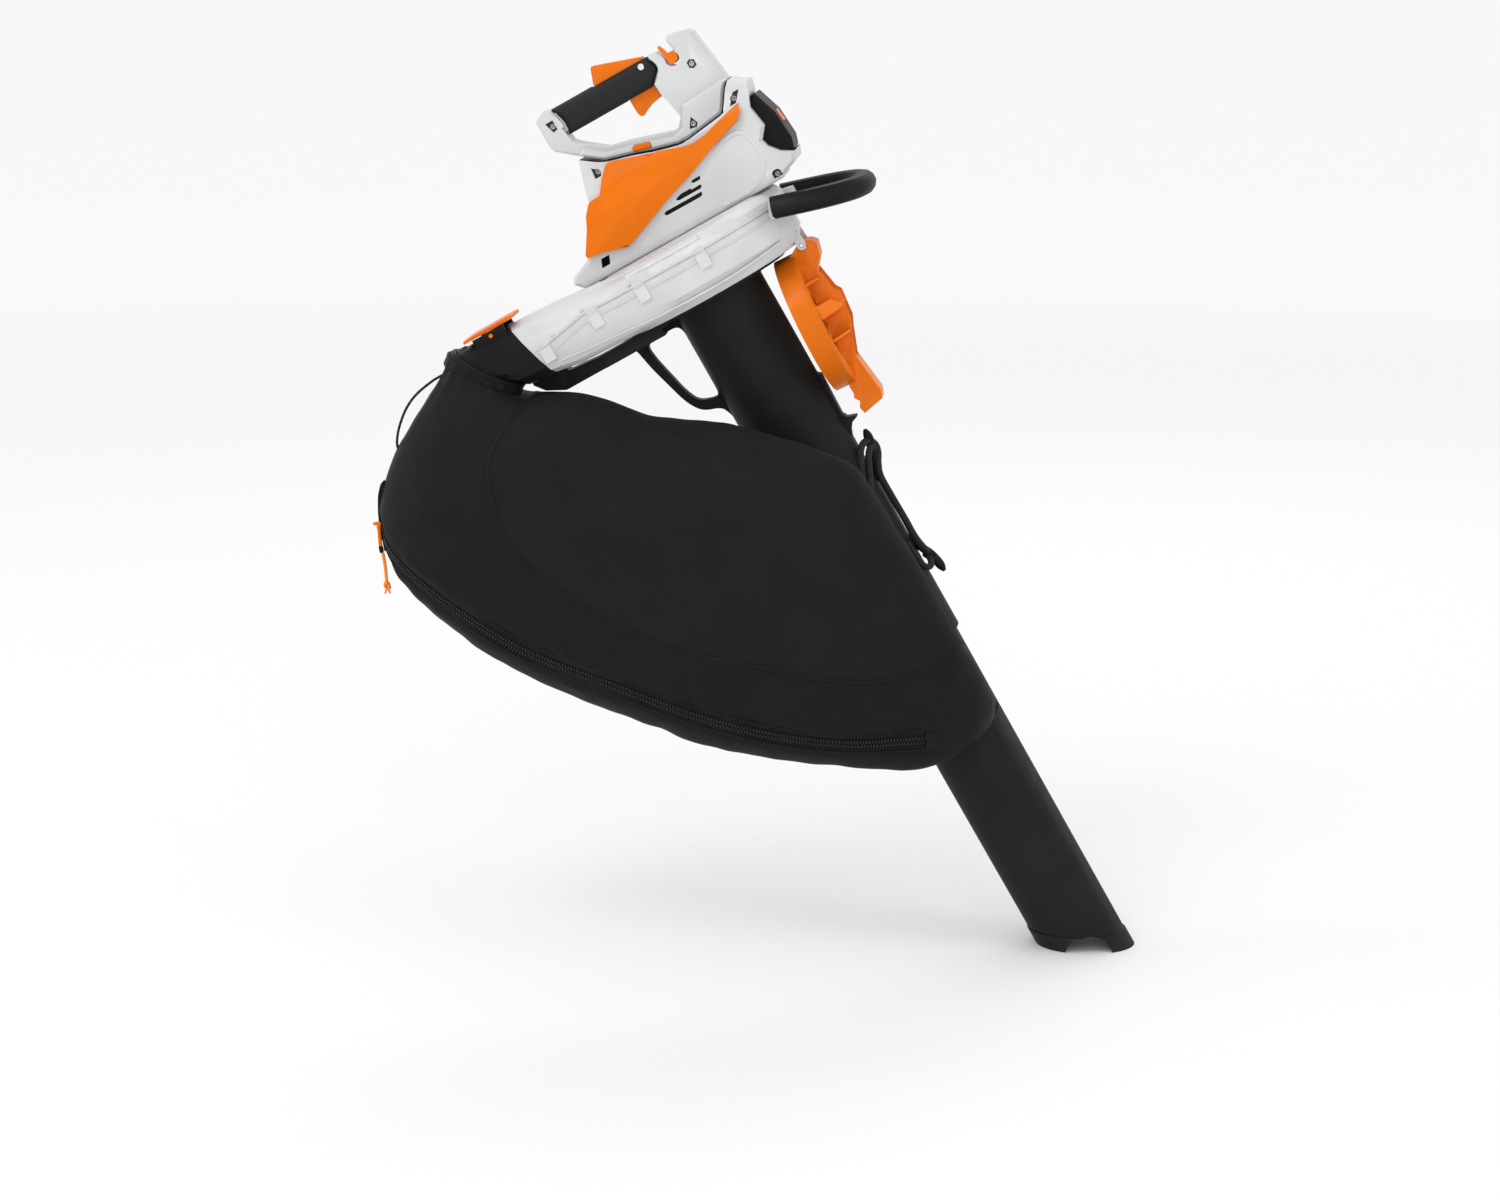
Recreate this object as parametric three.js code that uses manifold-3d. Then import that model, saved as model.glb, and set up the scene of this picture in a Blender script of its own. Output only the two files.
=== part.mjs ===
// A cordless leaf blower, vacuum and mulcher, set up as a vacuum: a fan unit with a closed
// handle on top, a suction tube below it, and a collecting bag hung beside the tube.
// Millimetres, +Z up. The origin is the middle of the hand grip.
//
// The fan unit and tube are drawn upright in the "machine" frame: its Z runs up the fan and
// tube axis, X towards the battery, Y across, and its zero is on the axis near the intake.
// That frame then leans back by LEAN. The bag hangs in plain, upright axes from the same zero.

import * as THREE from "three";
import { mergeVertices } from "three/addons/utils/BufferGeometryUtils.js";
import Module from "manifold-3d";

const wasm = await Module();
wasm.setup();

// ---------------------------------------------------------------- driving dimensions (mm)

const LEAN = THREE.MathUtils.degToRad(29.55); // tube axis to the vertical
const GRIP_CENTRE = [3, 275]; // machine X, Z of the hand grip's middle
const GROUND = -778; // height of the tube's foot below the machine zero, in upright axes
const GAP = 0.3; // clearance between touching pieces
const HALF_GAP = GAP / 2;

const WALL = 2.8; // moulded shell thickness
const HOUSING_HALF = 61; // motor housing, half its width
const HANDLE_HALF = 21; // handle frame, half its width
const BASE_HALF = 41; // handle base, half its width
const PANEL_PROUD = 1.8; // orange side cover above the housing

const VOLUTE_R = 126; // fan housing radius
const VOLUTE_FLOOR = 16;
const VOLUTE_ROOF = 92;
const SEAM = 68.2; // height where the two fan housing shells meet
const OUTLET_Y = -84; // middle of the tangential outlet
const OUTLET_END = [[-218, 100], [-197, 28]]; // the outlet's slanted end, top and bottom

const TUBE_R = 56.8;
const TUBE_WALL = 2.5;
const TUBE_SPLIT = -476; // end of the upper tube
const LOWER_TOP = -416; // the lower tube starts inside the upper one
const LOWER_R = 52.2;
const FLANGE_R = 92;
const FLANGE_BOTTOM = 11.8;
const FLANGE_TOP = 15.7;

const BOW_R = 13.3; // bow handle tube
const BOW_HALF = 84; // half the distance between its legs
const BOW_START = [114, 70]; // machine X, Z of a leg's end
const BOW_REACH = 215.4; // machine X of the bow's far end
const BOW_DROP = Math.tan(THREE.MathUtils.degToRad(17));

const PIN_AT = [54, 283.6]; // the steel pin that the lockout lever turns on
const TRIGGER_PIVOT = [51, 267];
const SPEED_PIVOT = [91, 274.5];
const GUARD_HINGE = [117, 12];
const GUARD_RIM = [72, -75.5]; // centre of the intake guard's rim
const GUARD_R = 84.6;
const GUARD_TILT = THREE.MathUtils.degToRad(2.7);
const LATCH_PIN = [-239.4, 101.5];
const NECK = [-270, -78]; // upright X, Z of the bag's neck
const NECK_R = 42;
const NECK_TURN = THREE.MathUtils.degToRad(26); // lean of the neck's axis to the vertical

// ---------------------------------------------------------------- colours

const finish = (color, roughness, metalness = 0) =>
  new THREE.MeshStandardMaterial({ color, roughness, metalness });
const WHITE = finish(0xe6e7e8, 0.42);
const ORANGE = finish(0xf37a1f, 0.38);
const BLACK = finish(0x1b1c1d, 0.55);
const RUBBER = finish(0x202122, 0.8);
const FABRIC = finish(0x17181a, 0.92);
const STEEL = finish(0xb4b7ba, 0.32, 1);
const BOARD = finish(0x23643b, 0.6);
const COPPER = finish(0xb87333, 0.4, 1);

// ---------------------------------------------------------------- making solids

const sinLean = Math.sin(LEAN);
const cosLean = Math.cos(LEAN);

// Machine X, Z of a point given in upright X, Z.
function toMachine([x, z]) {
  return [x * cosLean + z * sinLean, -x * sinLean + z * cosLean];
}

// Merged, outward-facing manifold solid of a closed three.js geometry.
function solid(geometry) {
  geometry.deleteAttribute("normal");
  geometry.deleteAttribute("uv");
  const merged = mergeVertices(geometry, 1e-3);
  const p = merged.attributes.position.array;
  const index = merged.index.array;
  let triangles = [];
  let volume = 0;
  for (let i = 0; i < index.length; i += 3) {
    const [a, b, c] = [index[i], index[i + 1], index[i + 2]];
    if (a === b || b === c || a === c) continue;
    triangles.push([a, b, c]);
    const [ax, ay, az] = [p[3 * a], p[3 * a + 1], p[3 * a + 2]];
    const [bx, by, bz] = [p[3 * b], p[3 * b + 1], p[3 * b + 2]];
    const [cx, cy, cz] = [p[3 * c], p[3 * c + 1], p[3 * c + 2]];
    volume += ax * (by * cz - bz * cy) + ay * (bz * cx - bx * cz) + az * (bx * cy - by * cx);
  }
  if (volume < 0) triangles = triangles.map(([a, b, c]) => [a, c, b]);
  const triVerts = new Uint32Array(triangles.flat());
  const vertProperties = new Float32Array(p);
  return new wasm.Manifold(new wasm.Mesh({ numProp: 3, vertProperties, triVerts }));
}

function geometryOf(shape) {
  const mesh = shape.getMesh();
  const geometry = new THREE.BufferGeometry();
  const position = new Float32Array(mesh.vertProperties);
  geometry.setAttribute("position", new THREE.BufferAttribute(position, 3));
  geometry.setIndex(new THREE.BufferAttribute(new Uint32Array(mesh.triVerts), 1));
  geometry.computeVertexNormals();
  return geometry;
}

const shapeOf = (points) => new THREE.Shape(points.map(([x, y]) => new THREE.Vector2(x, y)));

function extruded(points, depth) {
  return new THREE.ExtrudeGeometry(shapeOf(points), { depth, bevelEnabled: false });
}

// Outline in X, Z from y0 to y1.
function prism(points, y0, y1) {
  const geometry = extruded(points, y1 - y0);
  geometry.rotateX(Math.PI / 2);
  geometry.translate(0, y1, 0);
  return solid(geometry);
}

// Outline in Y, Z from x0 to x1.
function prismAlongX(points, x0, x1) {
  const geometry = extruded(points, x1 - x0);
  const turn = new THREE.Matrix4().set(0, 0, 1, x0, 1, 0, 0, 0, 0, 1, 0, 0, 0, 0, 0, 1);
  geometry.applyMatrix4(turn);
  return solid(geometry);
}

// Outline in X, Y from z0 to z1.
function prismAlongZ(points, z0, z1) {
  const geometry = extruded(points, z1 - z0);
  geometry.translate(0, 0, z0);
  return solid(geometry);
}

function box([x0, y0, z0], [x1, y1, z1]) {
  const geometry = new THREE.BoxGeometry(x1 - x0, y1 - y0, z1 - z0);
  geometry.translate((x0 + x1) / 2, (y0 + y1) / 2, (z0 + z1) / 2);
  return solid(geometry);
}

const area = (points) =>
  points.reduce((sum, [x, y], i) => {
    const [u, v] = points[(i + 1) % points.length];
    return sum + (x * v - u * y) / 2;
  }, 0);

// A closed outline moved inwards by d (outwards when d is negative), with mitred corners.
function inset(points, d) {
  const ring = area(points) > 0 ? points : [...points].reverse();
  return ring.map(([x, y], i) => {
    const [px, py] = ring[(i + ring.length - 1) % ring.length];
    const [nx, ny] = ring[(i + 1) % ring.length];
    const before = new THREE.Vector2(x - px, y - py).normalize();
    const after = new THREE.Vector2(nx - x, ny - y).normalize();
    const mitre = new THREE.Vector2(-before.y - after.y, before.x + after.x).normalize();
    const reach = d / Math.max(0.35, mitre.dot(new THREE.Vector2(-before.y, before.x)));
    return [x + mitre.x * reach, y + mitre.y * reach];
  });
}

// A closed solid through rings of equal count, each a list of [x, y, z], capped at both ends.
function loft(rings) {
  const count = rings[0].length;
  const triangles = [];
  for (let r = 0; r + 1 < rings.length; r += 1) {
    for (let i = 0; i < count; i += 1) {
      const j = (i + 1) % count;
      const [a, b, c, d] = [r * count + i, r * count + j, (r + 1) * count + j, (r + 1) * count + i];
      triangles.push(a, b, c, a, c, d);
    }
  }
  const last = (rings.length - 1) * count;
  for (const [a, b, c] of capOf(rings[0])) triangles.push(a, c, b);
  for (const [a, b, c] of capOf(rings[rings.length - 1])) triangles.push(last + a, last + b, last + c);
  const geometry = new THREE.BufferGeometry();
  const position = new THREE.Float32BufferAttribute(rings.flat(2), 3);
  geometry.setAttribute("position", position);
  geometry.setIndex(triangles);
  return solid(geometry);
}

// Triangles across a flat ring, turning the same way as the ring.
function capOf(ring) {
  const points = ring.map((p) => new THREE.Vector3(...p));
  const normal = new THREE.Vector3();
  points.forEach((p, i) => normal.add(p.clone().cross(points[(i + 1) % points.length])));
  normal.normalize();
  const pole = Math.abs(normal.z) < 0.9 ? new THREE.Vector3(0, 0, 1) : new THREE.Vector3(1, 0, 0);
  const right = pole.clone().cross(normal).normalize();
  const up = normal.clone().cross(right);
  const flat = points.map((p) => new THREE.Vector2(p.dot(right), p.dot(up)));
  return THREE.ShapeUtils.triangulateShape(flat, []);
}

// An outline in X, Z stacked along Y, with an inset at each level: a slab with shaped edges.
function stack(points, levels) {
  return loft(levels.map(([y, d]) => inset(points, d).map(([x, z]) => [x, y, z])));
}

const bothSides = (levels) => [
  ...levels.map(([y, d]) => [-y, d]),
  ...[...levels].reverse().map(([y, d]) => [y, d]),
];

// A turned solid: profile [radius, height] about an axis from "at" along "along".
function turned(profile, at = [0, 0, 0], along = [0, 0, 1], segments = 24) {
  const points = profile.map(([r, h]) => new THREE.Vector2(r, h));
  const geometry = new THREE.LatheGeometry(points, segments);
  const axis = new THREE.Vector3(...along).normalize();
  const turn = new THREE.Quaternion().setFromUnitVectors(new THREE.Vector3(0, 1, 0), axis);
  geometry.applyQuaternion(turn);
  geometry.translate(...at);
  return solid(geometry);
}

function rod(radius, from, to, segments = 24) {
  const length = new THREE.Vector3(...to).distanceTo(new THREE.Vector3(...from));
  const along = to.map((v, i) => v - from[i]);
  return turned([[0, 0], [radius, 0], [radius, length], [0, length]], from, along, segments);
}

function ringPipe(outer, inner, from, to, segments = 24) {
  const length = new THREE.Vector3(...to).distanceTo(new THREE.Vector3(...from));
  const along = to.map((v, i) => v - from[i]);
  const profile = [[inner, 0], [outer, 0], [outer, length], [inner, length], [inner, 0]];
  return turned(profile, from, along, segments);
}

// A round bar along a smooth curve.
function bar(points, radius, sides, steps) {
  const curve = new THREE.CatmullRomCurve3(points.map((p) => new THREE.Vector3(...p)));
  const section = [];
  for (let i = 0; i < sides; i += 1) {
    const turn = (i / sides) * 2 * Math.PI;
    section.push([radius * Math.cos(turn), radius * Math.sin(turn)]);
  }
  const options = { extrudePath: curve, steps, bevelEnabled: false };
  return solid(new THREE.ExtrudeGeometry(shapeOf(section), options));
}

// A super-ellipse: power 2 is an ellipse, and more is nearer to a rectangle.
function roundedSection(halfWidth, halfHeight, power, count) {
  const points = [];
  for (let i = 0; i < count; i += 1) {
    const turn = (i / count) * 2 * Math.PI;
    const [c, s] = [Math.cos(turn), Math.sin(turn)];
    const reach = (Math.abs(c) ** power + Math.abs(s) ** power) ** (-1 / power);
    points.push([halfWidth * reach * c, halfHeight * reach * s]);
  }
  return points;
}

const upright = new THREE.Group();
const machine = new THREE.Group();
machine.rotation.y = -LEAN;

function add(name, shape, material, parent = machine) {
  const mesh = new THREE.Mesh(geometryOf(shape), material);
  mesh.name = name;
  parent.add(mesh);
}

const rightHalf = (shape) => shape.intersect(box([-400, -300, -200], [400, -HALF_GAP, 400]));
const leftHalf = (shape) => shape.intersect(box([-400, HALF_GAP, -200], [400, 300, 400]));

// ---------------------------------------------------------------- screws

// Screws go in from the right side: where, the height of the head's seat, and its pocket.
const SCREWS = [
  { name: "screw_handle_front", at: [-71, 274.5], seat: -12,
    pocket: [[-77, 281], [-67, 281], [-67, 269], [-73, 268]] },
  { name: "screw_handle_rear", at: [108.2, 258.4], seat: -15,
    pocket: [[103.5, 262], [108, 264], [113, 261.5], [113, 254.5], [108, 252.5], [103.5, 255]] },
  { name: "screw_handle_base", at: [77.4, 197.5], seat: -33,
    pocket: [[71, 194], [79, 206], [83, 196.5], [80, 192]] },
  { name: "screw_housing_front", at: [-47.3, 203.5], seat: -36,
    pocket: [[-52, 211], [-43, 203], [-45, 197.5], [-53, 197.5]] },
  { name: "screw_housing_rear", at: [133.4, 199.8], seat: -38,
    pocket: [[126, 194], [136, 206.5], [144, 206.5], [134, 194]] },
  { name: "screw_housing_low", at: [136.5, 99.7], seat: -49,
    pocket: [[131, 103], [134, 105.5], [139, 105.5], [142, 103], [142, 96.5], [131, 96.5]] },
];
const SHANK_R = 2;
const HEAD_R = 3.6;

function screw({ at: [x, z], seat }) {
  const profile = [[0, 0], [HEAD_R, 0], [HEAD_R, 2.6], [SHANK_R, 2.6], [SHANK_R, 26 - seat * 0.4]];
  const tip = 28 - seat * 0.4;
  const shape = turned([...profile, [0, tip]], [x, seat - 2.6, z], [0, 1, 0], 12);
  const drive = turned([[0, 0], [1.9, 0], [1.9, 1.5], [0, 1.5]], [x, seat - 2.8, z], [0, 1, 0], 6);
  return shape.subtract(drive);
}

// A cup under each pocket and a boss behind it, both inside the body, then the holes.
function withBosses(shape, screws, body) {
  let bosses = null;
  let holes = null;
  for (const { at: [x, z], seat, pocket } of screws) {
    const cup = prism(inset(pocket, -2.6), -120, seat + 3);
    const boss = cup.add(rod(5.5, [x, seat, z], [x, 120, z], 12));
    bosses = bosses ? bosses.add(boss) : boss;
    const shank = rod(SHANK_R + GAP, [x, seat - 5, z], [x, 31 - seat * 0.4, z], 12);
    const head = rod(HEAD_R + GAP, [x, -120, z], [x, seat, z], 12);
    const hole = prism(pocket, -120, seat - 3.2).add(head).add(shank);
    holes = holes ? holes.add(hole) : hole;
  }
  return shape.add(bosses.intersect(body)).subtract(holes);
}

// ---------------------------------------------------------------- motor housing

const HOUSING_OUTLINE = [
  [-60.3, 226], [-34.4, 209.7], [-0.7, 200], [22, 192.3], [52, 184.5], [67.2, 184.5],
  [111.9, 190.2], [116.3, 193.4], [129.7, 213.6], [137, 221.3], [148.1, 212.8], [155.4, 209.9],
  [153.1, 199.3], [146, 182], [150.5, 155.6], [139.8, 142.1], [142.3, 133.1], [152.6, 120.9],
  [165.8, 113.2], [161.3, 102.4], [141, 95], [140.5, VOLUTE_ROOF + GAP],
  [-125, VOLUTE_ROOF + GAP], [-135.3, 102.7], [-131.3, 110.5], [-108.3, 119.9], [-72.3, 175.2],
  [-69.3, 193.7],
];
// Half width and height of the housing, from its foot up to the handle.
const HOUSING_WIDTHS = [[-4, 88], [0, 100], [0, 158], [-5, 184], [-15, 206], [-20, 232]];

function housingBody(grow) {
  const edges = [[HOUSING_HALF + grow, 3.5 - grow], [HOUSING_HALF - 5 + grow, -grow]];
  const right = HOUSING_WIDTHS.map(([w, z]) => [HOUSING_HALF + w + grow, z]);
  const left = [...right].reverse().map(([w, z]) => [-w, z]);
  return stack(HOUSING_OUTLINE, bothSides(edges)).intersect(prismAlongX([...right, ...left], -200, 200));
}

// The battery bay, open to the rear, along a line that climbs 9 degrees.
const BAY_OUTLINE = [[95.8, 101.8], [83.6, 182.2], [200, 200.4], [200, 118.2]];
const BAY_HALF = 41;

// Cooling slots in both sides of the housing: the middle one steps up at its front half.
const VENTS = [
  [[-1.4, 123.4], [1, 120.6], [45.1, 120.4], [48.9, 121.4], [49.8, 125.2], [2.4, 125.3]],
  [[19.1, 130.8], [22.2, 129], [51.1, 128.8], [53.6, 131.3], [52.3, 133], [40.9, 132.8],
    [40.8, 134.5], [27.4, 134.5], [21.2, 132.6]],
  [[44.4, 140.6], [46.9, 138.3], [55.4, 138.2], [57, 141], [56.6, 142.2], [47.4, 141.9]],
];

function housingShells() {
  const body = housingBody(0);
  let shape = body.subtract(housingBody(-WALL));
  shape = shape.subtract(prism(BAY_OUTLINE, -BAY_HALF, BAY_HALF));
  const floorHole = rod(47, [0, 0, 85], [0, 0, 98], 24);
  shape = shape.subtract(floorHole);
  for (const vent of VENTS) shape = shape.subtract(prism(vent, -90, 90));
  const cordHole = [[-96, 104], [-92, 114], [-81, 114], [-85, 104]];
  shape = shape.subtract(prism(cordHole, -90, -50));
  shape = withBosses(shape, SCREWS.slice(3), body);
  return shape.subtract(voluteOuter(GAP)).subtract(buttonSolid(GAP));
}

const PANEL_OUTLINE = [
  [-34, 205], [-28, 206], [6.8, 194.8], [55.5, 180.1], [69.1, 178.4], [85.6, 179.4], [137, 191.6],
  [128.1, 176.5], [85.6, 163.1], [37, 145.3], [6.8, 135.7], [-23, 123.6], [-55, 111.6],
  [-91.2, 121.5], [-112, 121.5], [-112, 126], [-75, 178.5], [-60.6, 176.1], [-37.1, 202.5],
];

function sidePanels() {
  const skin = housingBody(PANEL_PROUD).subtract(housingBody(GAP));
  const panel = prism(PANEL_OUTLINE, -90, 90).intersect(skin);
  const clear = panel.subtract(handleBase(GAP));
  add("side_panel_right", rightHalf(clear), ORANGE);
  add("side_panel_left", leftHalf(clear), ORANGE);
}

// ---------------------------------------------------------------- handle

const HANDLE_OUTLINE = [
  [-86, 255], [-86, 288], [-82, 291], [-71, 295.3], [-64, 292], [-62, 286], [64, 286],
  [67, 291.5], [79.2, 290], [85, 283], [96, 283], [94.4, 296], [98.3, 301], [122, 295.4],
  [126.5, 291], [134, 240], [135.6, 222.6], [128, 214.8], [114.5, 194.7], [111, 191.8],
  [67, 186.3], [52, 186.3], [22.6, 194], [-0.1, 201.6], [-33.7, 211.4], [-59.7, 228.6],
  [-82.6, 247.3],
];
const HAND_OPENING = [
  [-62, 268], [-59.3, 249.3], [-55.1, 244.1], [-26.7, 222.1], [1.6, 215.3], [50.5, 199.7],
  [58.3, 201.7], [66.7, 211.3], [62.2, 234.5], [59.5, 243], [57.8, 268],
];
const BASE_OUTLINE = [
  [-58, 230], [-50, 236], [-27, 218], [2, 211], [50, 195.5], [64, 200], [76, 222], [131, 226],
  [135.6, 222.6], [128, 214.8], [114.5, 194.7], [111, 191.8], [67, 186.3], [52, 186.3],
  [22.6, 194], [-0.1, 201.6], [-33.7, 211.4],
];
const GRIP_OUTLINE = [
  [-64, 292.7], [-58.5, 272.5], [-59.2, 256.8], [55, 256.6], [64, 263.5], [70, 270],
  [71.6, 276], [70, 282.5], [64.8, 292.3],
];

function handleBase(grow) {
  const edges = [[BASE_HALF + grow, 3 - grow], [BASE_HALF - 4 + grow, -grow]];
  return stack(BASE_OUTLINE, bothSides(edges));
}

function gripOuter(grow) {
  const edges = [[17 + grow, 8 - grow], [15.5 + grow, 4.5 - grow], [12 + grow, 1.8 - grow],
    [6, -grow]];
  return stack(GRIP_OUTLINE, bothSides(edges));
}

const gripCore = (grow) => box([-66, -11 - grow, 262 - grow], [74, 11 + grow, 287 + grow]);

// The notch on top of the column that the speed lever swings in.
function speedNotch() {
  const [x, z] = SPEED_PIVOT;
  const mouth = [[78.6, 310], [79.4, 290], [83.2, 276], [98.6, 276], [95, 296], [94.2, 310]];
  return prism(mouth, -60, 60).add(rod(8.6, [x, -60, z], [x, 60, z], 20));
}

const COLUMN_ROOM = [
  [74, 202], [108, 196], [118, 206], [128, 222], [120.5, 287], [102.5, 291], [101.6, 262],
  [80, 262], [76, 284], [69, 284], [69, 240], [72, 225],
];

function handleShells() {
  const frame = stack(HANDLE_OUTLINE, bothSides([[HANDLE_HALF, 2.6], [HANDLE_HALF - 4, 0]]));
  const body = frame.add(handleBase(0)).subtract(prism(HAND_OPENING, -60, 60))
    .subtract(prism(inset(GRIP_OUTLINE, -GAP), -60, 60)).add(gripCore(0)).subtract(speedNotch());
  let shape = body;
  shape = shape.subtract(prism(COLUMN_ROOM, -HANDLE_HALF + WALL + 0.4, HANDLE_HALF - WALL - 0.4));
  const baseRoom = [[14, 200], [52, 190.5], [68, 190.5], [72, 200], [52, 194]];
  shape = shape.subtract(prism(baseRoom, -BASE_HALF + 6, BASE_HALF - 6));
  shape = shape.subtract(box([8, -7.6, 250], [70, 7.6, 300]));
  shape = shape.subtract(box([-10, -9.4, 275], [69, 9.4, 300]));
  const [px, pz] = PIN_AT;
  shape = shape.subtract(rod(2.5 + GAP, [px, -30, pz], [px, 30, pz], 16));
  const [tx, tz] = TRIGGER_PIVOT;
  shape = shape.subtract(rod(3 + GAP, [tx, -10.8, tz], [tx, 10.8, tz], 12));
  shape = shape.add(box([29, -10, 281.3], [39, 10, 283]));
  const [sx, sz] = SPEED_PIVOT;
  shape = shape.subtract(rod(2 + GAP, [sx, -30, sz], [sx, 30, sz], 12));
  shape = withBosses(shape, SCREWS.slice(0, 3), body);
  return shape.subtract(buttonSolid(GAP));
}

function grip() {
  const [px, pz] = PIN_AT;
  return gripOuter(0)
    .subtract(gripCore(GAP))
    .subtract(box([19.5, -8, 240], [60, 8, 275]))
    .subtract(box([-10, -10, 270], [66, 10, 300]))
    .subtract(rod(4.6 + GAP, [px, -30, pz], [px, -15.2, pz], 16))
    .subtract(rod(4.6 + GAP, [px, 15.2, pz], [px, 30, pz], 16))
    .subtract(rod(2.5 + GAP, [px, -30, pz], [px, 30, pz], 16));
}

function gripPin() {
  const [x, z] = PIN_AT;
  const profile = [[0, 0], [3.4, 0], [4.4, 1.2], [4.4, 2.4], [2.5, 2.4], [2.5, 32.8], [4.4, 32.8],
    [4.4, 34], [3.4, 35.2], [0, 35.2]];
  return turned(profile, [x, -17.6, z], [0, 1, 0], 16);
}

// ---------------------------------------------------------------- controls

function trigger() {
  const finger = [[21.9, 262], [22.6, 238.3], [24.4, 234.4], [27.6, 233], [34, 236.6],
    [42.8, 240.1], [57, 242.5], [56.5, 254], [56.5, 270], [24, 270]];
  const [x, z] = TRIGGER_PIVOT;
  return prism(finger, -6.6, 6.6).add(rod(3, [x, -10.5, z], [x, 10.5, z], 12));
}

function lockout() {
  const wedge = [[-6, 294.2], [-3.6, 300], [0, 310.6], [1.8, 312.6], [4.6, 312.3], [60, 293.4],
    [60.5, 288.8], [50, 289.4], [6, 289.4], [4, 286.5], [-5.4, 286.5]];
  const ear = [[47, 289.6], [60.3, 290.4], [60, 281], [56, 277.6], [51, 277.8], [48, 281]];
  const [x, z] = PIN_AT;
  return prism(wedge, -9, 9)
    .add(prism(ear, 3.4, 7))
    .add(prism(ear, -7, -3.4))
    .subtract(rod(2.5 + GAP, [x, -9, z], [x, 9, z], 16));
}

function speedLever() {
  const [x, z] = SPEED_PIVOT;
  const arm = [[79.9, 296.6], [81.6, 298.4], [83.8, 297.6], [88.6, 282.4], [95, 281.8],
    [96.4, 277], [85.6, 271], [83.6, 277]];
  const hub = rod(8, [x, -HANDLE_HALF + 1, z], [x, HANDLE_HALF - 1, z], 20);
  const shape = hub.add(prism(arm, -HANDLE_HALF + 1, HANDLE_HALF - 1));
  return shape.subtract(rod(2 + GAP, [x, -30, z], [x, 30, z], 12));
}

function speedPin() {
  const [x, z] = SPEED_PIVOT;
  return rod(2, [x, -HANDLE_HALF + 0.4, z], [x, HANDLE_HALF - 0.4, z], 12);
}

function buttonSolid(grow) {
  const outline = [[0.5, 203], [1.9, 207.3], [4.6, 209.7], [21.5, 204.9], [23.2, 202.2],
    [22, 197.2]];
  return stack(outline, [[-BASE_HALF - 2.2, 1.2 - grow], [-BASE_HALF - 0.8, -grow],
    [-BASE_HALF + 12 + (grow > 0 ? 5 : 0), -grow]]);
}

// A close-wound wire spring between two points.
function spring(from, to, radius, wire, turns) {
  const start = new THREE.Vector3(...from);
  const axis = new THREE.Vector3(...to).sub(start);
  const length = axis.length();
  const frame = new THREE.Quaternion().setFromUnitVectors(new THREE.Vector3(0, 0, 1), axis.normalize());
  const points = [];
  const perTurn = 8;
  for (let i = 0; i <= turns * perTurn; i += 1) {
    const turn = (i / perTurn) * 2 * Math.PI;
    const height = (i / (turns * perTurn)) * length;
    const point = new THREE.Vector3(radius * Math.cos(turn), radius * Math.sin(turn), height);
    points.push(point.applyQuaternion(frame).add(start).toArray());
  }
  return bar(points, wire, 4, turns * perTurn);
}

// ---------------------------------------------------------------- electrics

function battery() {
  const outline = [[97, 103.5], [85.2, 181], [150, 191], [157, 193], [162, 178.7], [167.4, 162.4],
    [170, 127.7], [166.2, 115.4]];
  const shape = stack(outline, bothSides([[39.5, 3], [36.5, 0]]));
  const socket = box([80, -26, 163], [101, 26, 172]);
  const pocket = [[160.8, 147.6], [172, 147.6], [172, 164.6], [160.8, 164.6]];
  return shape.subtract(socket).subtract(prism(pocket, -13.5, 13.5));
}

function latchSolid(grow) {
  const outline = [[163.4 - grow, 148.2 - grow], [169.2 + grow, 148.2 - grow],
    [167.4 + grow, 164 + grow], [163.4 - grow, 164 + grow]];
  return prism(outline, -13 - grow, 13 + grow);
}

function terminalBlock() {
  let shape = box([77, -30, 160], [81.4, 30, 181]);
  for (const y of [-18, -6, 6, 18]) {
    shape = shape.add(box([81, y - 1.5, 165.5], [98, y + 1.5, 169.5]));
  }
  return shape;
}

function controlBoard() {
  let shape = box([-56, -34, 171.5], [24, 34, 173.5]);
  shape = shape.add(box([-50, -28, 173], [-18, 28, 183]));
  shape = shape.add(box([-8, -20, 173], [14, 20, 179]));
  return shape;
}

function switchModule() {
  return box([80, -9, 226], [98, 9, 252]).add(box([74, -3, 244], [80.2, 3, 249]));
}

// ---------------------------------------------------------------- fan and motor

function voluteProfile(grow) {
  return [[0, VOLUTE_FLOOR - grow], [112 + grow / 2, VOLUTE_FLOOR - grow], [122 + grow, 27],
    [123.5 + grow, 31.5], [VOLUTE_R + grow, 34], [VOLUTE_R + grow, 80], [121 + grow, 88],
    [112 + grow / 2, VOLUTE_ROOF + grow], [0, VOLUTE_ROOF + grow]];
}

// The tangential outlet: X, middle height and half height of each section.
const OUTLET_SECTIONS = [[0, 51, 33], [-60, 53, 35], [-120, 57, 37], [-165, 60, 38.6],
  [-200, 63.6, 36.6], [-240, 63.6, 36.6]];
const OUTLET_HALF_WIDTH = 38;
const DRUM_SIDES = 32;

function outletPassage(grow) {
  const rings = OUTLET_SECTIONS.map(([x, middle, half]) => {
    const section = roundedSection(OUTLET_HALF_WIDTH + grow, half + grow, 3.6, 16);
    return section.map(([y, z]) => [x, OUTLET_Y + y, middle + z]);
  });
  return loft(rings);
}

function beyondOutletEnd(offset) {
  const [[xt, zt], [xb, zb]] = OUTLET_END;
  const slope = (xt - xb) / (zt - zb);
  const at = (z) => xb + (z - zb) * slope + offset;
  return prism([[at(-40), -40], [at(160), 160], [-400, 160], [-400, -40]], -200, 200);
}

function voluteOuter(grow) {
  const drum = turned(voluteProfile(grow), [0, 0, 0], [0, 0, 1], DRUM_SIDES);
  return drum.add(outletPassage(grow).subtract(beyondOutletEnd(0)));
}

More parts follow.
